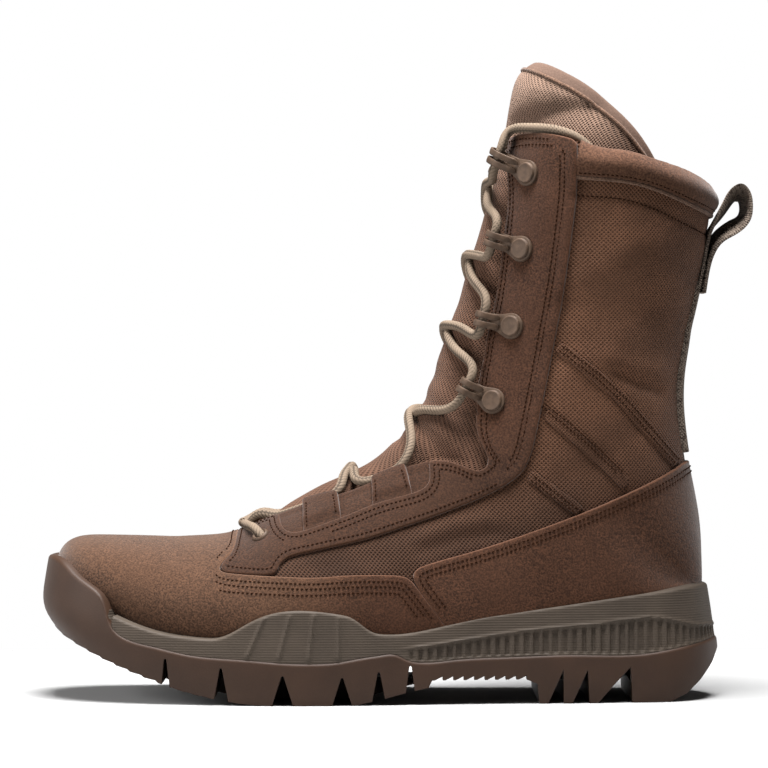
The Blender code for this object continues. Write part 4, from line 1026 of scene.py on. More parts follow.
def make_upper():
    rows = np.unique(np.concatenate([row_steps(0, UPPER_TOP_ROW, UPPER_STEP), THROAT_TURN]))
    u = np.repeat(rows[:, None], UPPER_COLUMNS, axis=1)
    start = throat_v(u)
    v = start + (1 - start) * np.linspace(0, 1, UPPER_COLUMNS)[None, :]
    blend = np.clip((u - COLLAR_BLEND_ROW) / (UPPER_TOP_ROW - COLLAR_BLEND_ROW), 0, 1)
    u = u + blend * (top_u(v, COLLAR_UV) - UPPER_TOP_ROW)
    low = [upper_point(u, v, side, -WALL) for side in BOTH]
    high = [upper_point(u, v, side, 0.0) for side in BOTH]
    around = [half[..., 0] - BACK_TURN * np.abs(half[..., 1]) for half in high]
    points, faces, numbers, inner = closed_wall(low, high, around)
    indices = np.zeros(len(faces), int)
    indices[:inner] = 1
    add_piece("Upper", points, faces, ("nylon", "lining"), "nylon", ("upper",), numbers, indices)


def closed_wall(low, high, around):
    """Points, faces, weave and count of inner faces of a wall, from a grid of points a side."""
    shape = low[0].shape[:2]
    second = grid_quads(*shape, first=shape[0] * shape[1])
    sheet = grid_quads(*shape) + [face[::-1] for face in second]
    low, high = (np.concatenate(part).reshape(-1, 3) for part in (low, high))
    around = np.concatenate(around).ravel()
    weave = turned(np.stack([around, high[:, 2], around], axis=-1))
    numbers = {"weave": np.concatenate([weave, weave])}
    return np.concatenate([low, high]), shell_faces(sheet, low), numbers, len(sheet)


def turned(weave):
    """Weave coordinates turned by an eighth, as the cloth lies on the boot."""
    half = math.sqrt(0.5)
    return np.stack([(weave[:, 0] + weave[:, 1]) * half, (weave[:, 0] - weave[:, 1]) * half,
                     weave[:, 2]], axis=-1)


# Panels cut from the upper's surface

def outline_distance(x, z, outline):
    """Distance of points from an outline seen from the side, above nought inside it."""
    start = np.asarray(outline, float)
    end = np.roll(start, -1, axis=0)
    run = end - start
    rise = np.where(run[:, 1] == 0, 1.0, run[:, 1])
    spans = (start[:, 1] <= z[..., None]) != (end[:, 1] <= z[..., None])
    left = x[..., None] - start[:, 0] < run[:, 0] * (z[..., None] - start[:, 1]) / rise
    inside = np.sum(spans & left, axis=-1) % 2 == 1
    return np.where(inside, 1.0, -1.0) * nearest(x, z, start, run)


def rounded(outline, most):
    """An outline with its corners cut off twice, by a quarter of a side but at most so far."""
    points = np.asarray(outline, float)
    for reach in (most, most * 0.4):
        run = np.roll(points, -1, axis=0) - points
        share = np.minimum(0.25, reach / np.linalg.norm(run, axis=1, keepdims=True))
        points = np.stack([points + run * share, points + run * (1 - share)], axis=1).reshape(-1, 2)
    return points


def seen(u, v):
    """The x and z of places on the upper, as seen from the side."""
    spot = surface_point(u, v, OUTER)
    return spot[..., 0], spot[..., 2]


def paces(u, v):
    """Millimetres for each unit of u and of v on the upper's wall."""
    small = 0.01
    here = surface_point(u, v, OUTER)
    along = np.linalg.norm(surface_point(u + small, v, OUTER) - here, axis=-1) / small
    around = np.linalg.norm(surface_point(u, v + small, OUTER) - here, axis=-1) / small
    return np.maximum(along, 1.0), np.maximum(around, 1.0)


def throat_distance(u, v):
    """Distance from the throat's edge, above nought on the wall's side."""
    small = 0.02
    along, around = paces(u, v)
    slope = (throat_v(u + small) - throat_v(u - small)) / (2 * small)
    return (v - throat_v(u)) / np.sqrt((1 / around) ** 2 + (slope / along) ** 2)


def collar_distance(u, v):
    """Distance below the collar's edge."""
    small = 0.005
    along, around = paces(u, v)
    slope = (top_u(v + small, COLLAR_UV) - top_u(v - small, COLLAR_UV)) / (2 * small)
    return (top_u(v, COLLAR_UV) - u) / np.sqrt((1 / along) ** 2 + (slope / around) ** 2)


class Field:
    """How far a place on the upper lies inside a panel, in millimetres."""

    def __init__(self, outline, grow=0.0, window=None, throat=None, collar=False, corner=90.0):
        self.outline = rounded(outline, corner)
        self.window = None if window is None else rounded(window, corner)
        self.grow = grow
        self.throat = throat    # how far the panel reaches past the throat's edge
        self.collar = collar

    def at(self, u, v):
        x, z = seen(u, v)
        depth = outline_distance(x, z, self.outline) + self.grow
        if self.window is not None:
            depth = np.minimum(depth, -outline_distance(x, z, self.window))
        if self.throat is not None:
            depth = np.minimum(depth, throat_distance(u, v) + self.throat)
        if self.collar:
            depth = np.minimum(depth, collar_distance(u, v))
        return depth


def clip_grid(u, v, depth):
    """The part of a grid where depth isn't below nought: u, v, faces, and the edges along the cut."""
    columns = depth.shape[1]
    all_u = u.ravel().tolist()
    all_v = v.ravel().tolist()
    flat = depth.ravel()
    inside = (depth >= 0).astype(int)
    corners = inside[:-1, :-1] + inside[1:, :-1] + inside[:-1, 1:] + inside[1:, 1:]
    faces = []
    for i, j in np.argwhere(corners == 4).tolist():
        a = i * columns + j
        faces.append((a, a + 1, a + columns + 1, a + columns))
    cuts = {}
    rim = []
    for i, j in np.argwhere((corners > 0) & (corners < 4)).tolist():
        a = i * columns + j
        ring = (a, a + 1, a + columns + 1, a + columns)
        face = []
        leaving = None
        entering = None
        for one, other in zip(ring, ring[1:] + ring[:1]):
            if flat[one] >= 0:
                face.append(one)
            if (flat[one] >= 0) == (flat[other] >= 0):
                continue
            key = (min(one, other), max(one, other))
            if key not in cuts:
                share = flat[one] / (flat[one] - flat[other])
                cuts[key] = len(all_u)
                all_u.append(all_u[one] + share * (all_u[other] - all_u[one]))
                all_v.append(all_v[one] + share * (all_v[other] - all_v[one]))
            face.append(cuts[key])
            if flat[one] >= 0:
                leaving = cuts[key]
            else:
                entering = cuts[key]
        faces.append(tuple(face))
        rim.append((leaving, entering))
    return np.array(all_u), np.array(all_v), faces, rim


def stepped_in(field, u, v, target):
    """Places moved across the field until they lie a target depth inside it."""
    small_u, small_v = 0.01, 0.002
    for _ in range(2):
        here = field.at(u, v)
        along, around = paces(u, v)
        slope_u = (field.at(u + small_u, v) - field.at(u - small_u, v)) / (2 * small_u) / along
        slope_v = (field.at(u, v + small_v) - field.at(u, v - small_v)) / (2 * small_v) / around
        size = np.maximum(slope_u**2 + slope_v**2, 0.2)
        move = np.clip(target - here, -1.5, 1.5) / size
        u = u + move * slope_u / along
        v = np.clip(v + move * slope_v / around, 0.0, 1.0)
    return u, v


def panel_grid(rows, columns):
    u = np.repeat(rows[:, None], len(columns), axis=1)
    v = np.repeat(columns[None, :], len(rows), axis=0)
    return u, v


UNDER = -0.4              # the panels' undersides lie in the nylon
EDGE_TURNS = np.radians((30, 60, 90))     # rings of points round a cut edge


def add_panel(name, field, rows, columns, sides, high, nodes, looks=("suede",), slot="suede",
              radius=0.7, lift=None):
    """A panel on the upper with a rounded cut edge. lift gives more height from u and v."""
    u, v = panel_grid(rows, columns)
    u, v, faces, rim = clip_grid(u, v, field.at(u, v) - radius)
    used = np.unique(np.concatenate([np.array(face) for face in faces]))
    number = np.full(len(u), -1)
    number[used] = np.arange(len(used))
    u, v = u[used], v[used]
    faces = [tuple(number[list(face)].tolist()) for face in faces]
    rim = [tuple(number[list(edge)].tolist()) for edge in rim]
    edge_spots = np.unique(np.array(rim))
    depth = np.maximum(field.at(u, v), radius)
    depth[edge_spots] = radius
    extra = lift(u, v) if lift else np.zeros_like(u)
    rings = []
    for angle in EDGE_TURNS:
        target = radius * (1 - math.sin(angle))
        ring_u, ring_v = stepped_in(field, u[edge_spots], v[edge_spots], target)
        rings.append((ring_u, ring_v, high - radius * (1 - math.cos(angle)), target))
    rings.append((rings[-1][0], rings[-1][1], UNDER, 0.0))
    where = np.full(len(u), -1)
    where[edge_spots] = np.arange(len(edge_spots))
    points, edges, body = [], [], []
    first = 0
    for side in sides:
        parts = [upper_point(u, v, side, high + extra), upper_point(u, v, side, UNDER)]
        for ring_u, ring_v, height, _ in rings:
            ring_extra = lift(ring_u, ring_v) if lift and height > UNDER else 0.0
            parts.append(upper_point(ring_u, ring_v, side, height + ring_extra))
        count, skirt = len(u), len(edge_spots)
        ring_first = [first + 2 * count + k * skirt for k in range(len(rings))]
        body += [tuple(i + first for i in face) for face in faces]
        body += [tuple(i + first + count for i in face)[::-1] for face in faces]
        for a, b in rim:
            painted_light_and_shade = [(first + a, first + b)]
            painted_light_and_shade += [(start + where[a], start + where[b]) for start in ring_first]
            painted_light_and_shade.append((first + count + a, first + count + b))
            for (a_high, b_high), (a_low, b_low) in zip(painted_light_and_shade, painted_light_and_shade[1:]):
                body.append((b_high, a_high, a_low, b_low))
        points += parts
        edges += [depth, np.full(count, FAR_INSIDE)] + [np.full(skirt, ring[-1]) for ring in rings]
        first += sum(len(part) for part in parts)
    points = np.concatenate(points)
    numbers = {"edge": np.concatenate(edges)}
    if slot != "suede":
        numbers["weave"] = turned(points[:, [0, 2, 1]])
    return add_piece(name, points, body, looks, slot, nodes, numbers)


PANEL_STEP = 1.5
COLUMN_STEP = 1.5
HALF_ROUND = 92.0         # about half of the way round a section


def columns_between(low, high):
    return np.linspace(low, high, int((high - low) * HALF_ROUND / COLUMN_STEP) + 2)


VAMP_FIELD = Field(VAMP, grow=0.6)
COUNTER_FIELD = Field(COUNTER, grow=0.6)
EYESTAY_FIELD = Field(EYESTAY, grow=0.4, window=LACE_WINDOW, throat=0.0, collar=True)
WINDOW_FIELD = Field(LACE_WINDOW, grow=2.0, throat=0.0)
WINDOW_RISE = 0.7
WINDOW_RIM = (0.6, 2.4, 0.8)   # rise and width of the folded rim along the throat, and its slope's run
KEEPER_TUCK = 2.6         # the keepers' feet are sewn in under the eyestay
KEEPER_FIELDS = [Field((one, (two[0], two[1] - KEEPER_TUCK), (three[0], three[1] - KEEPER_TUCK), four),
                       throat=1.0, corner=1.4) for one, two, three, four in LACE_KEEPERS]
KEEPER_RISE = 1.5
KEEPER_STEP = 1.5         # how much higher a keeper lies once it is clear of the eyestay's edge
KEEPER_CLEAR = (0.5, 3.5)      # where that rise starts inside the edge, and its run
KEEPER_SWELL = 0.7        # the lace runs under the keepers along the throat
SWELL_HALF = 4.5
KEEPER_ROWS = (8.6, 10.2)
KEEPER_LONG = 3.6         # rows that a keeper's grid covers
# Rows and columns of the panels' grids.
VAMP_COLUMNS = columns_between(0, 1)
COUNTER_GRID = (row_steps(10.2, 20.4, PANEL_STEP), columns_between(0.3, 1))
STAY_GRID = (row_steps(7.4, 24.4, PANEL_STEP), columns_between(0.004, 0.8))
WINDOW_COLUMNS = columns_between(0.004, 0.6)


def keeper_lift(u, v):
    start, run = KEEPER_CLEAR
    clear = soft_step((outline_distance(*seen(u, v), WINDOW_FIELD.outline) - start) / run)
    return KEEPER_STEP * clear + KEEPER_SWELL * np.exp(-(throat_distance(u, v) / SWELL_HALF) ** 2)


def window_lift(u, v):
    rise, width, run = WINDOW_RIM
    return rise * (1 - soft_step((throat_distance(u, v) - width) / run))


# The eyestay's back edge, which is folded over into a rim.
STAY_BACK = (
    (198, 90.6), (210.5, 98), (215.7, 106), (220, 125), (225, 151), (230, 178), (234, 207), (235.8, 225),
    (235.7, 250),
)
STAY_RIM = (0.7, 3.2, 1.2)     # its rise and width, and its slope's run
STAY_RIM_X = (200.0, 10.0)     # where it starts along the boot, and the run of that


def stay_lift(u, v):
    x, z = seen(u, v)
    rise, width, run = STAY_RIM
    from_x, run_x = STAY_RIM_X
    away = line_distance(x, z, STAY_BACK)
    return rise * (1 - soft_step((away - width) / run)) * soft_step((x - from_x) / run_x)


def make_panels():
    add_panel("Vamp", VAMP_FIELD, row_steps(0, 13.2, PANEL_STEP), VAMP_COLUMNS, BOTH, OVERLAY_TOP,
              ("vamp",), ("vamp",))
    add_panel("Heel_counter", COUNTER_FIELD, *COUNTER_GRID, BOTH, OVERLAY_TOP, ("heel_counter",))
    for side, name in SIDE_NAMES.items():
        add_panel("Eyestay_" + name, EYESTAY_FIELD, *STAY_GRID, (side,), OVERLAY_TOP,
                  ("eyestay_" + name,), ("stay",), lift=stay_lift)
        add_panel("Eyestay_under_" + name, WINDOW_FIELD, row_steps(8.0, 14.0, PANEL_STEP), WINDOW_COLUMNS,
                  (side,), WINDOW_RISE, (), ("stay",), radius=0.3, lift=window_lift)
        for number, (field, row) in enumerate(zip(KEEPER_FIELDS, KEEPER_ROWS), start=1):
            add_panel(f"Keeper_{name}_{number}", field, row_steps(row, row + KEEPER_LONG, 1.0),
                      WINDOW_COLUMNS, (side,), KEEPER_RISE, (f"lace_keeper_{name}_{number}",), ("stay",),
                      lift=keeper_lift)


# Folded seams of the nylon on the shaft: lower edge of a strip, seen from the side, and its width.
SEAMS = (
    (((226.5, 152.8), (243, 140), (256, 128), (268, 114), (279, 102)), 5.0),
    (((220.6, 124.3), (240, 108), (256, 92.5)), 5.0),
    (((214, 97), (236, 81)), 5.0),
)
SEAM_RISE = 0.9


def seam_outline(line, width):
    """A strip of a width above a line of points."""
    return np.concatenate([line, (line + left_of(line) * width)[::-1]])


def left_of(path):
    """Unit vectors across a flat path, to the left of its way."""
    ahead = unit(np.gradient(path, axis=0))
    return np.stack([-ahead[:, 1], ahead[:, 0]], axis=-1)


def make_seams():
    rows = row_steps(11.5, 20.5, PANEL_STEP)
    for number, (line, width) in enumerate(SEAMS, start=1):
        field = Field(seam_outline(even_curve(line, 16), width), corner=0.2)
        add_panel(f"Seam_{number}", field, rows, columns_between(0.2, 0.97), BOTH, SEAM_RISE, (),
                  ("strip",), "nylon", 0.5)


STRIP_TAPER = 0.8         # the strip's upper end lies flatter on the nylon
STRIP_TAPER_Z = (132.0, 40.0)  # from this height on, over so much of it
STRIP_PUFF = 1.0          # and the rest of it stands higher than the part's solid


def make_back_strip():
    class Strip:
        """The webbing strip down the back of the shaft."""

        def at(self, u, v):
            spot = surface_point(u, v, OUTER)
            low, high = BACK_STRIP_Z
            across = BACK_STRIP_HALF - np.abs(spot[..., 1])
            depth = np.minimum(np.minimum(across, spot[..., 2] - low), high - spot[..., 2])
            return np.where(v > 0.5, depth, -FAR_INSIDE)

    def lift(u, v):
        start, run = STRIP_TAPER_Z
        return -STRIP_TAPER * soft_step((seen(u, v)[1] - start) / run)

    add_panel("Back_strip", Strip(), row_steps(18.5, 23.2, PANEL_STEP), np.linspace(0.8, 1, 26), BOTH,
              GAP + WEBBING + STRIP_PUFF, ("back_strip",), ("webbing",), "webbing", 0.4, lift)


# The padded cuff

CUFF_INSIDE = 12.0        # how far the cuff reaches down on the inside
CUFF_FRONT = (236.6, 236)      # where it starts beside the eyestay
CUFF_STATIONS = 110
# The cuff's section: share of the way up its outside and height off the wall, then millimetres
# above the collar's edge and height.
CUFF_OUT = (
    (0.0, -0.3), (0.0, 1.1), (0.05, 1.7), (0.12, 1.9), (0.3, 3.1), (0.5, 3.7), (0.66, 3.5), (0.8, 2.8),
    (0.91, 1.8),
)
CUFF_OVER = (
    (0.7, 0.5), (1.3, -1.0), (1.0, -2.4), (-0.7, -3.5), (-3.6, -4.3), (-6.5, -4.2), (-9.5, -3.4),
    (-CUFF_INSIDE, -2.4), (-CUFF_INSIDE + 1.5, -1.0),
)
CUFF_PIPING = (0.4, 0.9, 1.0)  # below the cuff's edge, off the wall, and radius


def cuff_lines():
    """Places round the collar: v, rows of the cuff's lower and upper edge, millimetres a row."""
    v = np.linspace(locate(*CUFF_FRONT)[1], 1.0, CUFF_STATIONS)
    top = top_u(v, COLLAR_UV)
    return v, top_u(v, edge_table(CUFF_FOOT, 1)), top, paces(top - 0.2, v)[0]


def make_cuff():
    v, low, top, pace = cuff_lines()
    loop = [(low + (top - low) * share, height) for share, height in CUFF_OUT]
    loop += [(top + rise / pace, height) for rise, height in CUFF_OVER]
    points, faces = [], []
    for half, side in enumerate(BOTH):
        grid = np.stack([upper_point(u, v, side, height) for u, height in loop], axis=1)
        points.append(grid.reshape(-1, 3))
        first = half * grid.shape[0] * grid.shape[1]
        faces += grid_quads(*grid.shape[:2], first, wrap=True)
        faces.append(tuple(range(first, first + grid.shape[1])))
    points = np.concatenate(points)
    cuff = add_piece("Cuff", points, faces, ("cuff",), "suede", ("collar_cuff",), no_edge(points),
                     sharp=60)
    below, off, radius = CUFF_PIPING
    halves = [upper_point(low - below / pace, v, side, off) for side in BOTH]
    add_piping("Cuff_piping", np.concatenate([halves[0], halves[1][::-1][1:]]), radius, "suede", 8)


# Tubes

def tube_frames(path):
    """Two rows of unit vectors across a path that don't twist along it."""
    ahead = unit(np.gradient(path, axis=0))
    normal = np.cross(ahead[0], (0.0, 0.3, 1.0))
    normals = []
    for way in ahead:
        normal = unit(normal - way * np.dot(normal, way))
        normals.append(normal)
    normals = np.array(normals)
    return normals, np.cross(ahead, normals)


def tube_parts(path, radius, sides):
    """Points (a ring for each spot of the path) and faces of a round tube with closed ends."""
    first, second = tube_frames(path)
    turns = (np.arange(sides) * 2 * math.pi / sides)[None, :, None]
    radius = np.broadcast_to(radius, (len(path), sides))
    across = first[:, None] * np.cos(turns) + second[:, None] * np.sin(turns)
    points = path[:, None] + across * radius[..., None]
    return points.reshape(-1, 3), tube_faces(len(path), sides)


def add_piping(name, path, radius, slot, sides):
    points, faces = tube_parts(path, radius, sides)
    add_piece(name, points, faces, ("piping",), slot, numbers=no_edge(points))


# The tongue

TONGUE_TRIM = 6.0         # smooth band above the tongue's piping
TONGUE_EDGE = 2.0         # rounding of the tongue's edges
# Soft creases across the tongue: section row, depth and half width in rows.
TONGUE_FOLDS = ((12.4, 0.9, 0.25), (13.3, 1.4, 0.3), (14.3, 1.2, 0.35), (15.4, 0.8, 0.4), (18.4, 0.6, 0.6))
# Shares of the way up and across at which the tongue's points lie, closer along its edges.
TONGUE_UP = np.concatenate([np.linspace(0, 0.92, 110), np.linspace(0.925, 1.0, 26)])
TONGUE_ACROSS = 1 - (1 - np.linspace(0, 1, 44)) ** 1.25
TONGUE_SLANT = 0.8        # distance from the top edge for each millimetre along the rows
PIPING_ROW = 25.5         # the piping's ends reach as far round as the tongue's edge in this row
TONGUE_PIPING = (0.2, 0.9)     # off the tongue, and radius


def make_tongue():
    start, end = TONGUE_FROM, TONGUE_TO
    rough_u = (start + (end - start) * TONGUE_UP)[:, None]
    across = TONGUE_ACROSS[None, :]
    edge_v = throat_v(rough_u) + read(TONGUE_MARGIN, rough_u)
    v = across * edge_v
    u = start + (top_u(v, TONGUE_UV) - start) * (rough_u - start) / (end - start)
    along, around = paces(u, v)
    from_top = (top_u(v, TONGUE_UV) - u) * along * TONGUE_SLANT
    from_side = (edge_v - v) * around
    edge = np.minimum(from_top, from_side)
    inside = np.clip(1 - edge / TONGUE_EDGE, 0, 1)
    drop = TONGUE_EDGE * (1 - np.sqrt(np.clip(1 - inside**2, 0, 1)))
    offset = tongue_offset(u, v)
    for row, deep, width in TONGUE_FOLDS:
        offset = offset - deep * np.exp(-((u - row) / width) ** 2) * (1 - 0.6 * across**2)
    low = [wall_point(u, v, side, offset - TONGUE_THICK + drop) for side in BOTH]
    high = [wall_point(u, v, side, offset - drop) for side in BOTH]
    around = []
    for half in high:
        steps = np.linalg.norm(np.diff(half, axis=1), axis=2)
        around.append(np.hstack([np.zeros((len(steps), 1)), np.cumsum(steps, axis=1)]))
    points, faces, numbers, inner = closed_wall(low, high, around)
    trim = np.tile((from_top < TONGUE_TRIM).ravel(), 4)
    indices = [2 if k < inner else int(trim[face[0]]) for k, face in enumerate(faces)]
    tongue = add_piece("Tongue", points, faces, ("tongue", "satin", "lining"), "tongue_nylon", ("tongue",),
                       numbers, indices, sharp=60)
    line_v = np.linspace(0, 0.96, 60) * (throat_v(PIPING_ROW) + read(TONGUE_MARGIN, PIPING_ROW))
    line_u = top_u(line_v, TONGUE_UV)
    line_u = line_u - TONGUE_TRIM / TONGUE_SLANT / paces(line_u - 0.4, line_v)[0]
    off, radius = TONGUE_PIPING
    halves = [wall_point(line_u, line_v, side, tongue_offset(line_u, line_v) + off) for side in BOTH]
    path = np.concatenate([halves[0][::-1], halves[1][1:]])
    add_piping("Tongue_piping", path, radius, "tongue_nylon", 10)


# The sole

SOLE_STATIONS = 150
MIDSOLE_STATIONS = 430
BUMPER_ROUND = 1.6
BUMPER_THICK = 6.5
BEHIND_BUMPER = 30.0
LIP_ROUND = 1.3
TREAD_CAP = 9.0
WALL_CURVE = even_curve(SOLE_WALL, 200)
PAST_SIDES = 90.0         # cutters reach this far across from the middle line


def wall_at(points, normals, z, step):
    """The x and y of the sole's wall at heights z round the plan."""
    lift = tread_lift(points[:, 0])
    height = (z - lift) / (1 - TOE_LEAN * lift / TOE_SPRING)
    lean = np.interp(height, WALL_CURVE[:, 0], WALL_CURVE[:, 1])
    return points - normals * (step + wall_inset(points, normals, lean))[:, None]


def line_heights(rows, x):
    """Heights of a smooth line, seen from the side, at x."""
    line = even_curve(rows, 500)
    return np.interp(x, np.maximum.accumulate(line[:, 0]), line[:, 1])


def rounding(near, radius):
    """How far a rounded edge stands in, at a distance from its end."""
    share = np.clip(1 - near / radius, 0, 1)
    return radius * (1 - np.sqrt(1 - share**2))


def make_cutter(name, prisms):
    """A cutter of outlines seen from the side, each drawn out across the boot between two y."""
    points, faces = [], []
    for outline, low_y, high_y in prisms:
        first, count = len(points), len(outline)
        points += [(x, y, z) for y in (low_y, high_y) for x, z in outline]
        near = range(first, first + count)
        far = range(first + count, first + 2 * count)
        faces += [tuple(near), tuple(far[::-1])]
        for i in range(count):
            j = (i + 1) % count
            faces.append((near[i], far[i], far[j], near[j]))
    mesh = bpy.data.meshes.new(name)
    mesh.from_pydata(to_metres(points).tolist(), [], faces)
    tidy_mesh(mesh)
    return new_item(name, mesh)


def cut(item, cutter, operation):
    """Cut a piece for good, and take the cutter away."""
    change = item.modifiers.new("cut", "BOOLEAN")
    change.operation = operation
    change.solver = "EXACT"
    change.object = cutter
    bpy.context.view_layer.update()
    ready = item.evaluated_get(bpy.context.evaluated_depsgraph_get())
    mesh = bpy.data.meshes.new_from_object(ready)
    item.modifiers.clear()
    item.data = mesh
    bpy.data.objects.remove(cutter, do_unlink=True)


STEP_PITCH = 6.2          # small steps under the toe spring
STEP_DEPTH = 1.1
STEPS_TO = 60.0           # they run from the toe to here
STEP_RUN = 1.2
PAST_HEEL, PAST_TOE, PAST_TOP = 310.0, -8.0, 90.0   # the tread's cutter reaches out to here


def tread_line():
    """The outsole's underside from heel to toe, seen from the side, closed over its top."""
    tread = [(PAST_HEEL, HEEL_BACK[-1][1]), *HEEL_BACK[::-1]]
    tread.append((HEEL_BLOCK[1], 0.0))
    tread += [(HEEL_BLOCK[0] + 0.8, 0.0), (HEEL_BLOCK[0], LUG_TOP + 1)]
    for front in HEEL_LUGS[::-1]:
        last = front == HEEL_LUGS[-1]
        reach = HEEL_BLOCK[0] - front - 1.0 if last else LUG_NEXT
        tread.append((front + reach, LUG_TOP))
        if last:
            tread.append((front + LUG_FLAT + LUG_RAMP[0], LUG_RAMP[1]))
        tread += [(front + LUG_FLAT, 0.0), (front, 0.0)]
    tread.append((HEEL_LUGS[0] - 0.8, ARCH_Z - 2.0))
    tread += [(ARCH[1], ARCH_Z), (ARCH[0], ARCH_Z), *BALL_BACK]
    for x in np.arange(SPRING_LENGTH, 8, -STEP_PITCH):
        lift = float(tread_lift(x))
        deep = STEP_DEPTH if x < STEPS_TO else 0.0
        tread += [(float(x), lift), (float(x) - STEP_RUN, lift + deep)]
    front = PAST_TOE / 2
    return tread + [(front, float(tread_lift(front))), (PAST_TOE, PAST_TOP), (PAST_HEEL, PAST_TOP)]


NOTCH_FOOT = -3.0         # the notches' cutters start below the floor, where they are wider
NOTCH_FLARE = 1.25


def notch_profiles():
    """The V notches and the gaps between the arch's teeth, seen from the side."""
    found = []
    for x, z, half in NOTCHES:
        foot = half * NOTCH_FLARE
        found.append(((x - foot, NOTCH_FOOT), (x + foot, NOTCH_FOOT), (x + 0.5, z - 0.4), (x, z),
                      (x - 0.5, z - 0.4)))
    pitch = (ARCH[1] - ARCH[0]) / ARCH_TEETH
    for x in ARCH[1] - pitch * np.arange(ARCH_TEETH):
        back = x - pitch * 0.75
        found.append(((back, ARCH_Z - 2.0), (x, ARCH_Z - 2.0), (x, ARCH_Z + TOOTH_DEPTH), (back, ARCH_Z)))
    return found


OUTSOLE_SHARES = np.concatenate([np.linspace(0, 0.9, 14), np.linspace(0.92, 1.0, 7)])
OUTSOLE_BELOW = 4.0       # the wall starts below the tread, which is cut afterwards
TREAD_SHARP = 32          # degrees


def make_outsole():
    points, normals = plan_frame(plan_places(SOLE_STATIONS))
    x = points[:, 0]
    lift = tread_lift(x)
    top = line_heights(OUTSOLE_TOP, x)
    rings = []
    for share in OUTSOLE_SHARES:
        z = lift - OUTSOLE_BELOW + (top - lift + OUTSOLE_BELOW) * share
        wall = wall_at(points, normals, z, 0.0) - normals * rounding(top - z, BUMPER_ROUND)[:, None]
        rings.append(np.column_stack([wall, z]))
    inner = wall_at(points, normals, top, BUMPER_THICK)
    rings.append(np.column_stack([inner, top - 0.8]))
    low = np.minimum(lift + TREAD_CAP, top - 1.0)
    rings.append(np.column_stack([wall_at(points, normals, low, BUMPER_THICK + 1.5), low]))
    body, faces = rings_body(rings)
    outsole = add_piece("Outsole", body, faces, ("outsole",), "outsole", ("outsole",))
    cut(outsole, make_cutter("tread", [(tread_line(), -PAST_SIDES, PAST_SIDES)]), "INTERSECT")
    spans = ((-PAST_SIDES, -NOTCH_REACH), (NOTCH_REACH, PAST_SIDES))
    notches = [(profile, *span) for profile in notch_profiles() for span in spans]
    cut(outsole, make_cutter("notches", notches), "DIFFERENCE")
    outsole.data.shade_smooth()
    outsole.data.set_sharp_from_angle(angle=math.radians(TREAD_SHARP))


RIB_DEEP = 1.0
RIB_FROM = 158.0          # the ribs run from here to the back
BAND_LINE = 0.6           # raised line over the ribbed band
RIDGE = 0.7               # raised ridges of the forefoot bump


def midsole_relief(x, z, place, low):
    """How far the midsole's wall stands out: ribs, the line over them and the bump's ridges."""
    band = line_heights(RIB_BAND_TOP, x)
    along = soft_step((x - RIB_FROM) / 10)
    in_band = soft_step((band - 0.5 - z) / 0.7) * soft_step((z - low - 0.5) / 0.7) * along
    wave = np.cos(2 * math.pi * place / RIB_PITCH)
    relief = in_band * (-RIB_DEEP + RIB_DEEP * soft_step(wave * 1.4 + 0.55))
    relief = relief + BAND_LINE * np.exp(-((z - band) / 0.6) ** 2) * along
    for top_x, top_z, foot_x, foot_z in BUMP_RIBS:
        gap = line_distance(x, z, ((top_x, top_z), (foot_x, foot_z)))
        relief = relief + RIDGE * np.exp(-(gap / 0.8) ** 2)
    return relief


MIDSOLE_SHARES = np.concatenate([np.linspace(0, 0.93, 30), np.linspace(0.95, 1.0, 6)])
MIDSOLE_FROM = 33.2       # the midsole runs out behind the toe bumper
MIDSOLE_INNER = 9.0       # its hidden inner edge stands this far in


def make_midsole():
    places = plan_places(MIDSOLE_STATIONS)
    points, normals = plan_frame(places)
    x = points[:, 0]
    low = line_heights([spot for spot in OUTSOLE_TOP if spot[0] > BEHIND_BUMPER], x) - 0.2
    top = np.maximum(line_heights(MIDSOLE_TOP, x), low + 0.5)
    top = np.where(x > MIDSOLE_FROM, top, low + 0.3)
    rings = [np.column_stack([wall_at(points, normals, low, MIDSOLE_INNER), low])]
    for share in MIDSOLE_SHARES:
        z = low + (top - low) * share
        out = midsole_relief(x, z, places, low) * soft_step((top - z) / 1.5)
        out = out - rounding(top - z, LIP_ROUND)
        wall = wall_at(points, normals, z, MIDSOLE_STEP) + normals * out[:, None]
        rings.append(np.column_stack([wall, z]))
    rings.append(np.column_stack([wall_at(points, normals, top, 5.4), top + 0.3]))
    inner = wall_at(points, normals, top, MIDSOLE_INNER)
    rings.append(np.column_stack([inner, np.maximum(top - 8.0, low + 0.4)]))
    body, faces = rings_body(rings)
    add_piece("Midsole", body, faces, ("midsole",), "midsole", ("midsole",), sharp=38)


# The insole's edge from below to above: how far in it lies, and height.
INSOLE_EDGE = ((0.6, 0.0), (0.0, 0.8), (0.0, 2.8), (0.5, 3.6), (1.6, 4.0), (8.0, 4.2), (16.0, 4.0))
INSOLE_WIDER = 1.2        # the scene's insole is this much wider than the part's


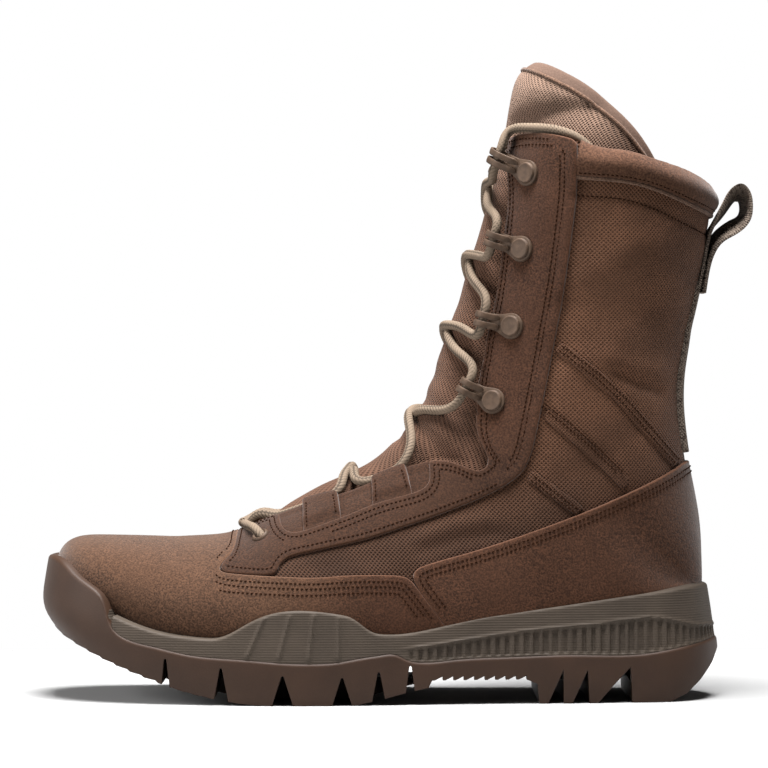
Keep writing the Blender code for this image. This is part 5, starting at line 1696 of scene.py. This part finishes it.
def make_insole():
    u = np.linspace(0, FIRST_BACK_ROW - 0.6, 90)
    lines = [surface_point(u, np.ones_like(u), side) for side in BOTH]
    outline = np.concatenate([lines[0], lines[1][::-1]])[:, :2]
    ahead = np.roll(outline, -1, axis=0) - np.roll(outline, 1, axis=0)
    normals = unit(np.stack([ahead[:, 1], -ahead[:, 0]], axis=-1))
    if np.sum((outline - outline.mean(axis=0)) * normals) < 0:
        normals = -normals
    rings = []
    for inset, lift in INSOLE_EDGE:
        inner = outline - normals * (WALL + INSOLE_INSET - INSOLE_WIDER + inset)
        floor = np.interp(inner[:, 0], lines[0][:, 0], lines[0][:, 2])
        rings.append(np.column_stack([inner, floor + GAP + lift]))
    count = len(outline)
    faces = grid_quads(len(rings), count, wrap=True)
    for first in (0, (len(rings) - 1) * count):
        for i in range(count // 2 - 1):
            faces.append([first + k for k in (i, i + 1, count - i - 2, count - i - 1)])
    add_piece("Insole", np.concatenate(rings), faces, ("insole",), "insole", ("insole",))


# Webbing loop, hooks and eyelets

LOOP_PUFF = 1.2           # the cloth is this much thicker than the part's solid
# The loop from its foot on the back of the boot, over its top and down to the tail: x and z of
# the near edge seen from the side, and how far the far edge leans in towards the loop's middle.
LOOP_WAY = (
    (291.7, 181.0, 0.0), (293.6, 191.0, 0.0), (295.2, 200.0, 0.0), (296.8, 206.5, 0.5),
    (299.8, 213.0, 2.4), (302.8, 219.0, 3.8), (306.2, 224.6, 5.2), (310.4, 226.8, 6.2),
    (313.8, 223.6, 4.4), (314.9, 218.0, 3.0), (314.4, 212.6, 3.6), (311.8, 208.2, 5.2),
    (307.4, 204.9, 5.6), (302.4, 202.0, 4.4), (298.8, 197.8, 2.2), (296.4, 192.0, 0.6),
    (295.0, 185.6, 0.0), (294.0, 179.0, 0.0),
)


def make_pull_loop():
    curve = Curve(LOOP_WAY)
    lengths = np.linspace(0, curve.end, 160)
    way = curve.at(lengths)
    path, leans = way[:, :2], way[:, 2]
    half, thick = LOOP_WIDTH / 2, LOOP_THICK / 2 * LOOP_PUFF
    across = np.linspace(-half, half, 28)
    ring = [(y, -thick * (1 - 0.6 * (abs(y) / half) ** 8)) for y in across]
    ring += [(y, -depth) for y, depth in ring[::-1]]
    points, weave = [], []
    for spot, out, length, lean in zip(path, left_of(path), lengths, leans):
        for y, depth in ring:
            move = depth - lean * (half + y) / LOOP_WIDTH
            points.append((spot[0] + out[0] * move, y, spot[1] + out[1] * move))
            weave.append((length, y, 0.0))
    numbers = {"weave": np.array(weave), **no_edge(points)}
    faces = tube_faces(len(path), len(ring))
    add_piece("Pull_loop", points, faces, ("webbing",), "webbing", ("pull_loop",), numbers, sharp=60)


def lathe(profile, sides):
    """Points (a, b, c) of a profile of radius and height turned about the c axis."""
    points = []
    for radius, height in profile:
        for i in range(sides):
            turn = 2 * math.pi * i / sides
            points.append((radius * math.cos(turn), radius * math.sin(turn), height))
    return points


HEAD_SIDES = 30
# The rivet's head: how far in from its radius and height, and then radius and height.
HEAD_RIM = ((0.0, 0.6), (0.0, 1.5), (0.15, 1.85), (0.5, 2.1), (0.8, 2.1), (1.1, 2.0))
HEAD_MIDDLE = ((1.6, 2.1), (0.05, 2.1))
# The plate's edge from below to above: share of its size and height.
PLATE_EDGE = ((1.0, -0.3), (1.0, 0.7), (0.985, 0.9), (0.95, 1.0))
PRONG_SIDES = 14
PRONG_WIDTH = 2.9
PRONG_THICK = 1.1
PRONG_GAP = 1.1


def hook_parts():
    """Points and faces of a hook in its own frame: plate, rivet head and two prongs."""
    points, faces = [], []

    def add(new_points, new_faces):
        first = len(points)
        points.extend(new_points)
        faces.extend(tuple(first + i for i in face) for face in new_faces)

    half = HOOK_WIDTH / 2 - 0.2
    outline = arc(0, 0, HOOK_PLATE_R - 0.3, 66, 294, 26)
    outline += [(HOOK_NECK - 1.5, -half - 0.3), (HOOK_NECK + 3, -half), (HOOK_NECK + 3, half)]
    outline += [(HOOK_NECK - 1.5, half + 0.3)]
    middle = np.mean(outline, axis=0)
    plate = []
    for shrink, height in PLATE_EDGE:
        plate += [(*(middle + (np.array(spot) - middle) * shrink), height) for spot in outline]
    add(plate, tube_faces(len(PLATE_EDGE), len(outline)))
    profile = [(RIVET_R - inset, height) for inset, height in HEAD_RIM] + list(HEAD_MIDDLE)
    add(lathe(profile, HEAD_SIDES), tube_faces(len(profile), HEAD_SIDES))
    bend = LACE / 2 + PRONG_THICK / 2
    centre = HOOK_NOSE - bend - PRONG_THICK / 2
    path = [(HOOK_NECK - 0.5, 0.55), (HOOK_NECK + 1.5, 0.6)]
    path += arc(centre, 0.6 + bend, bend, -80, 80, 13)
    path += [(HOOK_NECK + 3.6, 0.6 + 2 * bend), (HOOK_NECK + 1.6, 2 * bend - 0.6)]
    path += [(HOOK_NECK - 0.4, bend + 0.9), (HOOK_NECK - 2.2, 1.5)]
    path = even_curve(path, 34)
    for way in (-1, 1):
        shift = way * (PRONG_GAP / 2 + PRONG_WIDTH / 2)
        prong = []
        for k, (spot, up) in enumerate(zip(path, left_of(path))):
            end = min(1.0, (len(path) - 1 - k) / 3.0 + 0.45)
            for turn in np.linspace(0, 2 * math.pi, PRONG_SIDES, endpoint=False):
                wide = signed_power(np.cos(turn), 0.5) * PRONG_WIDTH / 2 * end
                thick = signed_power(np.sin(turn), 0.6) * PRONG_THICK / 2
                prong.append((spot[0] + up[0] * thick, shift + wide, spot[1] + up[1] * thick))
        add(prong, tube_faces(len(path), PRONG_SIDES))
    return points, faces


HOOK_DRAWN = (0.93, 0.93, 1.0, 1.3)   # length of each outer hook's nose, as a share of the part's


def hook_reach(number, side, reach):
    """How far forward of its rivet a spot of a hook lies."""
    if reach < RIVET_R or side > 0:
        return reach
    return RIVET_R + (reach - RIVET_R) * HOOK_DRAWN[number]


EYELET_SIDES = 36
EYELET_SINK = 0.3         # how far the eyelets and the hooks are let in
HOOK_SINK = 0.2


def make_fittings():
    points, faces = hook_parts()
    hole, rim = EYELET_R
    ring = [(hole - 0.1, -0.6), (hole, 0.5), (hole + 0.3, 1.0), (hole + 0.9, 1.25), (rim - 0.4, 0.9),
            (rim, 0.3), (rim, -0.5)]
    eyelet = lathe(ring + ring[:1], EYELET_SIDES)
    eyelet_faces = grid_quads(len(ring) + 1, EYELET_SIDES, wrap=True)
    for side, name in SIDE_NAMES.items():
        ring_frame = side_frame(*EYELET, 0.0, side, CUP - EYELET_SINK)
        add_piece("Eyelet_" + name, placed(ring_frame, eyelet), eyelet_faces, ("metal",), "hook_metal",
                  ("eyelet_" + name,))
        for number, (x, z, tilt) in enumerate(HOOKS, start=1):
            hook_frame = side_frame(x, z, tilt, side, CUP - HOOK_SINK)
            drawn = [(hook_reach(number - 1, side, a), b, c) for a, b, c in points]
            add_piece(f"Hook_{name}_{number}", placed(hook_frame, drawn), faces, ("metal",), "hook_metal",
                      (f"hook_{name}_{number}",))


# The lace

LACE_TOUCH = 0.1
LACE_STEP = 0.55
LACE_ROUND = 16           # points round it
LACE_SAMPLES = 4000
PAST_HOOK = (-6.0, -2.5, 2.5, 6.0)    # places of the lace below and above the middle of a hook
BRAID_PITCH = 1.7
LACE_EASE = 24            # rounds of smoothing
END_EASE = 90             # and for the lace's ends
OVER, BELOW = 0.3, -2.4   # rise of the upper and the lower strand where two cross
CROSSING_ROWS = (8.3, 10.65, 13.5, 17.4, 20.0, 21.9)
FIRST_DROP = 0.9          # the lowest crossing is drawn tight
# Where the lace runs past the eyelet and under each keeper: x and z seen from the side, and how
# far off the upper's wall.
EYELET_WAY = ((94.5, 73.6, 2.6), (90.5, 74.6, 3.4))
KEEPER_WAYS = (
    ((103, 80.0, 0.4), (110, 82.6, -1.0), (117, 85.0, -1.0), (125, 87.6, -0.4), (132.5, 90.2, 1.4)),
    ((141.5, 93.6, 2.6), (146, 95.0, 1.0), (151.5, 97.2, 0.6), (158, 100.2, 0.8), (163, 104.0, 2.6)),
)


def lace_offset(u, v):
    """How far the lace's middle stands off the upper's wall, over tongue and eyestay."""
    return np.maximum(tongue_offset(u, v), OVERLAY_TOP) + LACE / 2 + LACE_TOUCH


def side_points(rows, side):
    found = []
    for x, z, offset in rows:
        u, v = locate(x, z)
        found.append(wall_point(u, v, np.float64(side), offset))
    return found


def hook_points(number, side, reaches):
    """Spots of the lace at a hook: reaches run from below the nose to above it."""
    x, z, tilt = HOOKS[number]
    origin, forward, across, out = side_frame(x, z, tilt, side, CUP)
    up = -across if across[2] < 0 else across
    out_by = HOOK_PLATE_T + LACE / 2
    ahead = forward * hook_reach(number, side, HOOK_LACE)
    return [origin + ahead + up * reach + out * out_by for reach in reaches]


def hook_row(number, side, reach):
    """The section row of a spot of the lace at a hook."""
    spot = hook_points(number, side, (reach,))[0]
    return locate(spot[0], spot[2])[0]


def over_tongue(crossing, start, end, side, rise):
    """Spots of a strand over the tongue, from one side's holder to the other's."""
    middle = CROSSING_ROWS[crossing]
    found = []
    for share, way in ((0.55, side), (0.25, side), (0.0, side), (0.25, -side), (0.55, -side)):
        target = start if way == side else end
        u = middle + (target - middle) * share
        v = share * float(throat_v(u)) * 0.95
        extra = rise * math.exp(-(share / 0.28) ** 2)
        found.append(wall_point(u, v, np.float64(way), lace_offset(u, v) + extra))
    return found


def lace_half(side):
    """The whole way of one half of the lace, from inside its eyelet to the top hook."""
    first_over = side < 0
    x, z = EYELET
    start = ((x + 1.5, z - 0.5, -3.0), (x + 0.3, z, 1.2), (x - 1.6, z + 1.2, 3.6))
    spots = side_points(start + EYELET_WAY, side)
    middle = CROSSING_ROWS[0]
    rise = OVER if first_over else BELOW
    for v, way in ((0.05, side), (0.0, side), (0.05, -side), (0.11, -side)):
        row = middle + (0.35 if v > 0.1 else 0.0) + (0.15 if way != side else 0.0)
        lift = rise * math.exp(-(v / 0.06) ** 2) - FIRST_DROP
        spots.append(wall_point(row, v, np.float64(way), OVERLAY_TOP + LACE / 2 + lift))
    side = -side
    for keeper in (0, 1):
        spots += side_points(KEEPER_WAYS[keeper], side)
        leave = locate(*KEEPER_WAYS[keeper][-1][:2])[0]
        if keeper == 0:
            reach = locate(*KEEPER_WAYS[1][0][:2])[0]
        else:
            reach = hook_row(0, -side, -5.0)
        over = first_over == (keeper == 1)
        spots += over_tongue(keeper + 1, leave, reach, side, OVER if over else BELOW)
        side = -side
    for number in range(len(HOOKS)):
        last = number == len(HOOKS) - 1
        spots += hook_points(number, side, (*PAST_HOOK[:2], 0.0) if last else PAST_HOOK)
        if last:
            break
        leave = hook_row(number, side, PAST_HOOK[-1])
        reach = hook_row(number + 1, -side, PAST_HOOK[0])
        over = first_over == (number % 2 == 0)
        spots += over_tongue(number + 3, leave, reach, side, OVER if over else BELOW)
        side = -side
    return np.array(spots), side


# The lace's ends run from the top hook over the eyestay's top edge and in behind the collar:
# x and z seen from the side, and how far out of the upper's wall.
LACE_END = (
    (210.4, 248.4, 5.5), (216, 250.2, 1.6), (223, 249.8, 0.2), (231, 247.8, -1.0),
    (238, 244.2, -4.4), (243, 238.0, -5.4),
)


def even_path(spots):
    """Points a step apart along a smooth curve through some spots."""
    fine = even_curve(spots, LACE_SAMPLES)
    lengths = lengths_along(fine)
    count = int(lengths[-1] / LACE_STEP) + 1
    places = np.interp(np.linspace(0, lengths[-1], count), lengths, np.arange(len(fine)))
    low = np.clip(places.astype(int), 0, len(fine) - 2)
    share = (places - low)[:, None]
    return fine[low] * (1 - share) + fine[low + 1] * share


def smoothed(path, rounds):
    """A path with its sharp turns rounded off and its ends kept."""
    for _ in range(rounds):
        path[1:-1] = path[1:-1] * 0.5 + (path[:-2] + path[2:]) * 0.25
    return path


def braided(path):
    """A braided lace along a path: chevrons in its surface and a groove down two sides."""
    turns = np.arange(LACE_ROUND) * 2 * math.pi / LACE_ROUND
    along = np.arange(len(path))[:, None] * LACE_STEP
    fold = np.abs(np.arcsin(np.sin(turns)))[None, :]
    strands = np.abs(np.sin(math.pi * (along / BRAID_PITCH + fold * 0.9)))
    groove = np.exp(-((fold - math.pi / 2) / 0.3) ** 2)
    radius = LACE / 2 * (0.95 + 0.06 * strands - 0.12 * groove)
    points, faces = tube_parts(path, radius, LACE_ROUND)
    tone = np.clip(strands * (1 - 0.8 * groove), 0, 1)
    braid = np.stack(np.broadcast_arrays(along, turns, tone), axis=-1)
    return points, faces, braid.reshape(-1, 3)


def make_laces():
    points, faces, braids, ends = [], [], [], []
    first = 0
    for start in BOTH:
        spots, side = lace_half(start)
        path = smoothed(even_path(spots), LACE_EASE)
        new_points, new_faces, braid = braided(path)
        points.append(new_points)
        braids.append(braid)
        faces += [tuple(i + first for i in face) for face in new_faces]
        first += len(new_points)
        ends.append((side, path[-1]))
    nodes = ["lace_bar"] + [f"lace_crossing_{k}" for k in range(1, len(CROSSING_ROWS) + 1)]
    add_piece("Lace", np.concatenate(points), faces, ("lace",), "lace", nodes,
              {"braid": np.concatenate(braids)}, sharp=80)
    for side, start in ends:
        name = SIDE_NAMES[side]
        spots = [start] + hook_points(len(HOOKS) - 1, side, PAST_HOOK[2:]) + side_points(LACE_END, side)
        path = smoothed(even_path(np.array(spots)), END_EASE)
        new_points, new_faces, braid = braided(path)
        piece = add_piece("Lace_end_" + name, new_points, new_faces, ("lace",), "lace",
                          ("lace_end_" + name,), {"braid": braid}, sharp=80)


# Stitches

CUFF_SEAM = 9.0           # from the cuff's piping to the seam below it
STITCH_PITCH = 2.0
STITCH_HALF = 0.62
STITCH_R = 0.28
STITCH_SIDES = 6
# A stitch from end to end: share of its half length and rise.
STITCH_BEND = np.array([-1.0, -0.75, 0.0, 0.75, 1.0])
STITCH_RISE = np.array([-0.35, 0.1, 0.25, 0.1, -0.35])


def chains(rim):
    """Edges along a cut, put end to end."""
    after = dict(rim)
    starts = set(after) - set(after.values())
    found = []
    left = dict(after)
    for start in list(starts) + list(after):
        if start not in left:
            continue
        line = [start]
        while line[-1] in left:
            line.append(left.pop(line[-1]))
        found.append(line)
    return found


def stitch_runs(field, rows, columns, depth, keep):
    """Lines a depth inside a panel's edge, as u and v, where keep(x, z) is true."""
    u, v = panel_grid(rows, columns)
    u, v, _, rim = clip_grid(u, v, field.at(u, v) - depth)
    runs = []
    for line in chains(rim):
        part = []
        for index, fine in zip(line, keep(*seen(u[line], v[line]))):
            if fine:
                part.append(index)
            elif part:
                runs.append(part)
                part = []
        runs.append(part)
    return [(u[part], v[part]) for part in runs if len(part) > 3]


def stitches_on(u, v, side, height):
    """Points of the stitches along one line: a bent thread for each."""
    spots = upper_point(u, v, side, height)
    lengths = lengths_along(spots)
    middles = np.arange(STITCH_PITCH, lengths[-1] - STITCH_HALF, STITCH_PITCH)
    if not len(middles):
        return np.zeros((0, len(STITCH_BEND), STITCH_SIDES, 3))
    out = surface_normal(u, v, np.full(len(u), side))
    places = middles[:, None] + STITCH_BEND[None, :] * STITCH_HALF
    centre = np.stack([np.interp(places, lengths, spots[:, k]) for k in range(3)], axis=-1)
    normal = np.stack([np.interp(places, lengths, out[:, k]) for k in range(3)], axis=-1)
    centre = centre + normal * STITCH_RISE[None, :, None]
    ahead = unit(centre[:, -1] - centre[:, 0])
    across = unit(np.cross(normal, ahead[:, None]))
    turns = np.arange(STITCH_SIDES) * 2 * math.pi / STITCH_SIDES
    ring = across[:, :, None] * np.cos(turns)[:, None] + normal[:, :, None] * np.sin(turns)[:, None]
    return centre[:, :, None] + ring * STITCH_R


def off_back(x, z):
    """Distance from the eyestay's back edge, seen from the side."""
    return line_distance(x, z, STAY_BACK)


def in_stay(x, z):
    """Distance inside the eyestay's own outline, seen from the side."""
    return outline_distance(x, z, EYESTAY_FIELD.outline)


# Rows of stitches along the panels' edges: field, rows, columns, distances from the edge, and
# where they run, seen from the side.
VAMP_SEWN = (VAMP_FIELD, row_steps(6, 13.2, PANEL_STEP), VAMP_COLUMNS)
EDGE_ROWS = (
    (*VAMP_SEWN, (2.8, 4.9, 7.5), lambda x, z: (x > 79) & (z < 64) & (z > 36)),
    (*VAMP_SEWN, (2.4,), lambda x, z: (x > 79) & (z >= 64)),
    (COUNTER_FIELD, *COUNTER_GRID, (2.6, 4.8),
     lambda x, z: (z > 40) & (x < 292) & (z > 56 - (x - 165) * 2.2)),
    (EYESTAY_FIELD, *STAY_GRID, (2.2,), lambda x, z: (z > 56) & ((x < 202) | (off_back(x, z) > 9))),
    (EYESTAY_FIELD, *STAY_GRID, (4.4,),
     lambda x, z: ((z > 235) | (in_stay(x, z) > 5.2)) & (off_back(x, z) > 7)),
    (EYESTAY_FIELD, *STAY_GRID, (5.0, 6.9), lambda x, z: (x > 202) & (off_back(x, z) < 7.2)),
)
KEEPER_SEWN = 1.9         # from a keeper's side edges
KEEPER_SHARES = np.linspace(0.3, 0.96, 12)[:, None]
SEAM_SHARES = (0.3, 0.75)      # of a folded seam's width
CUFF_SEWN = (1.7, 1.9)    # above the cuff's lower edge, and height off the wall


def make_stitches():
    found = []

    def sew(u, v, height):
        found.extend(stitches_on(u, v, side, height) for side in BOTH)

    for field, rows, columns, depths, keep in EDGE_ROWS:
        for depth in depths:
            for u, v in stitch_runs(field, rows, columns, depth, keep):
                sew(u, v, OVERLAY_TOP)
    for one, two, three, four in np.array(LACE_KEEPERS):
        for high, low, inward in ((one, two, KEEPER_SEWN), (four, three, -KEEPER_SEWN)):
            spots = high + (low - high) * KEEPER_SHARES + (inward, 0.0)
            u, v = np.array([locate(*spot) for spot in spots]).T
            inside = throat_distance(u, v) > 1.0
            height = KEEPER_RISE + keeper_lift(u, v)
            sew(u[inside], v[inside], height[inside])
    v, low, _, pace = cuff_lines()
    sew(low + CUFF_SEWN[0] / pace, v, CUFF_SEWN[1])
    sew(low - CUFF_SEAM / pace, v, 0.0)
    for line, width in SEAMS:
        fine = even_curve(line, 40)
        for share in SEAM_SHARES:
            spots = fine + left_of(fine) * width * share
            u, v = np.array([locate(*spot) for spot in spots]).T
            sew(u, v, SEAM_RISE)
    threads = np.concatenate(found)
    one = tube_faces(len(STITCH_BEND), STITCH_SIDES)
    step = len(STITCH_BEND) * STITCH_SIDES
    faces = [tuple(i + step * k for i in face) for k in range(len(threads)) for face in one]
    add_piece("Stitches", threads.reshape(-1, 3), faces, ("thread",), "nylon")


FLOOR = (-0.4, -0.4, 0.4, 0.25)   # metres
FLOOR_COLOUR = (0.38, 0.38, 0.38)


def make_floor():
    mesh = bpy.data.meshes.new("Floor")
    low_x, low_y, high_x, high_y = FLOOR
    corners = [(low_x, low_y, 0), (high_x, low_y, 0), (high_x, high_y, 0), (low_x, high_y, 0)]
    mesh.from_pydata(corners, [], [(0, 1, 2, 3)])
    mesh.materials.append(Look("floor", 1.0, Specular_IOR_Level=0.0).done(FLOOR_COLOUR))
    floor = new_item("Floor", mesh)


def main():
    make_camera()
    make_light()
    make_looks()
    make_laces()
    make_upper()
    make_tongue()
    make_panels()
    make_seams()
    make_back_strip()
    make_cuff()
    make_outsole()
    make_midsole()
    make_insole()
    make_pull_loop()
    make_fittings()
    make_stitches()
    make_floor()
    for item, slot, nodes in PIECES:
        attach(item, "root")
        if nodes:
            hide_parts(*nodes)


main()
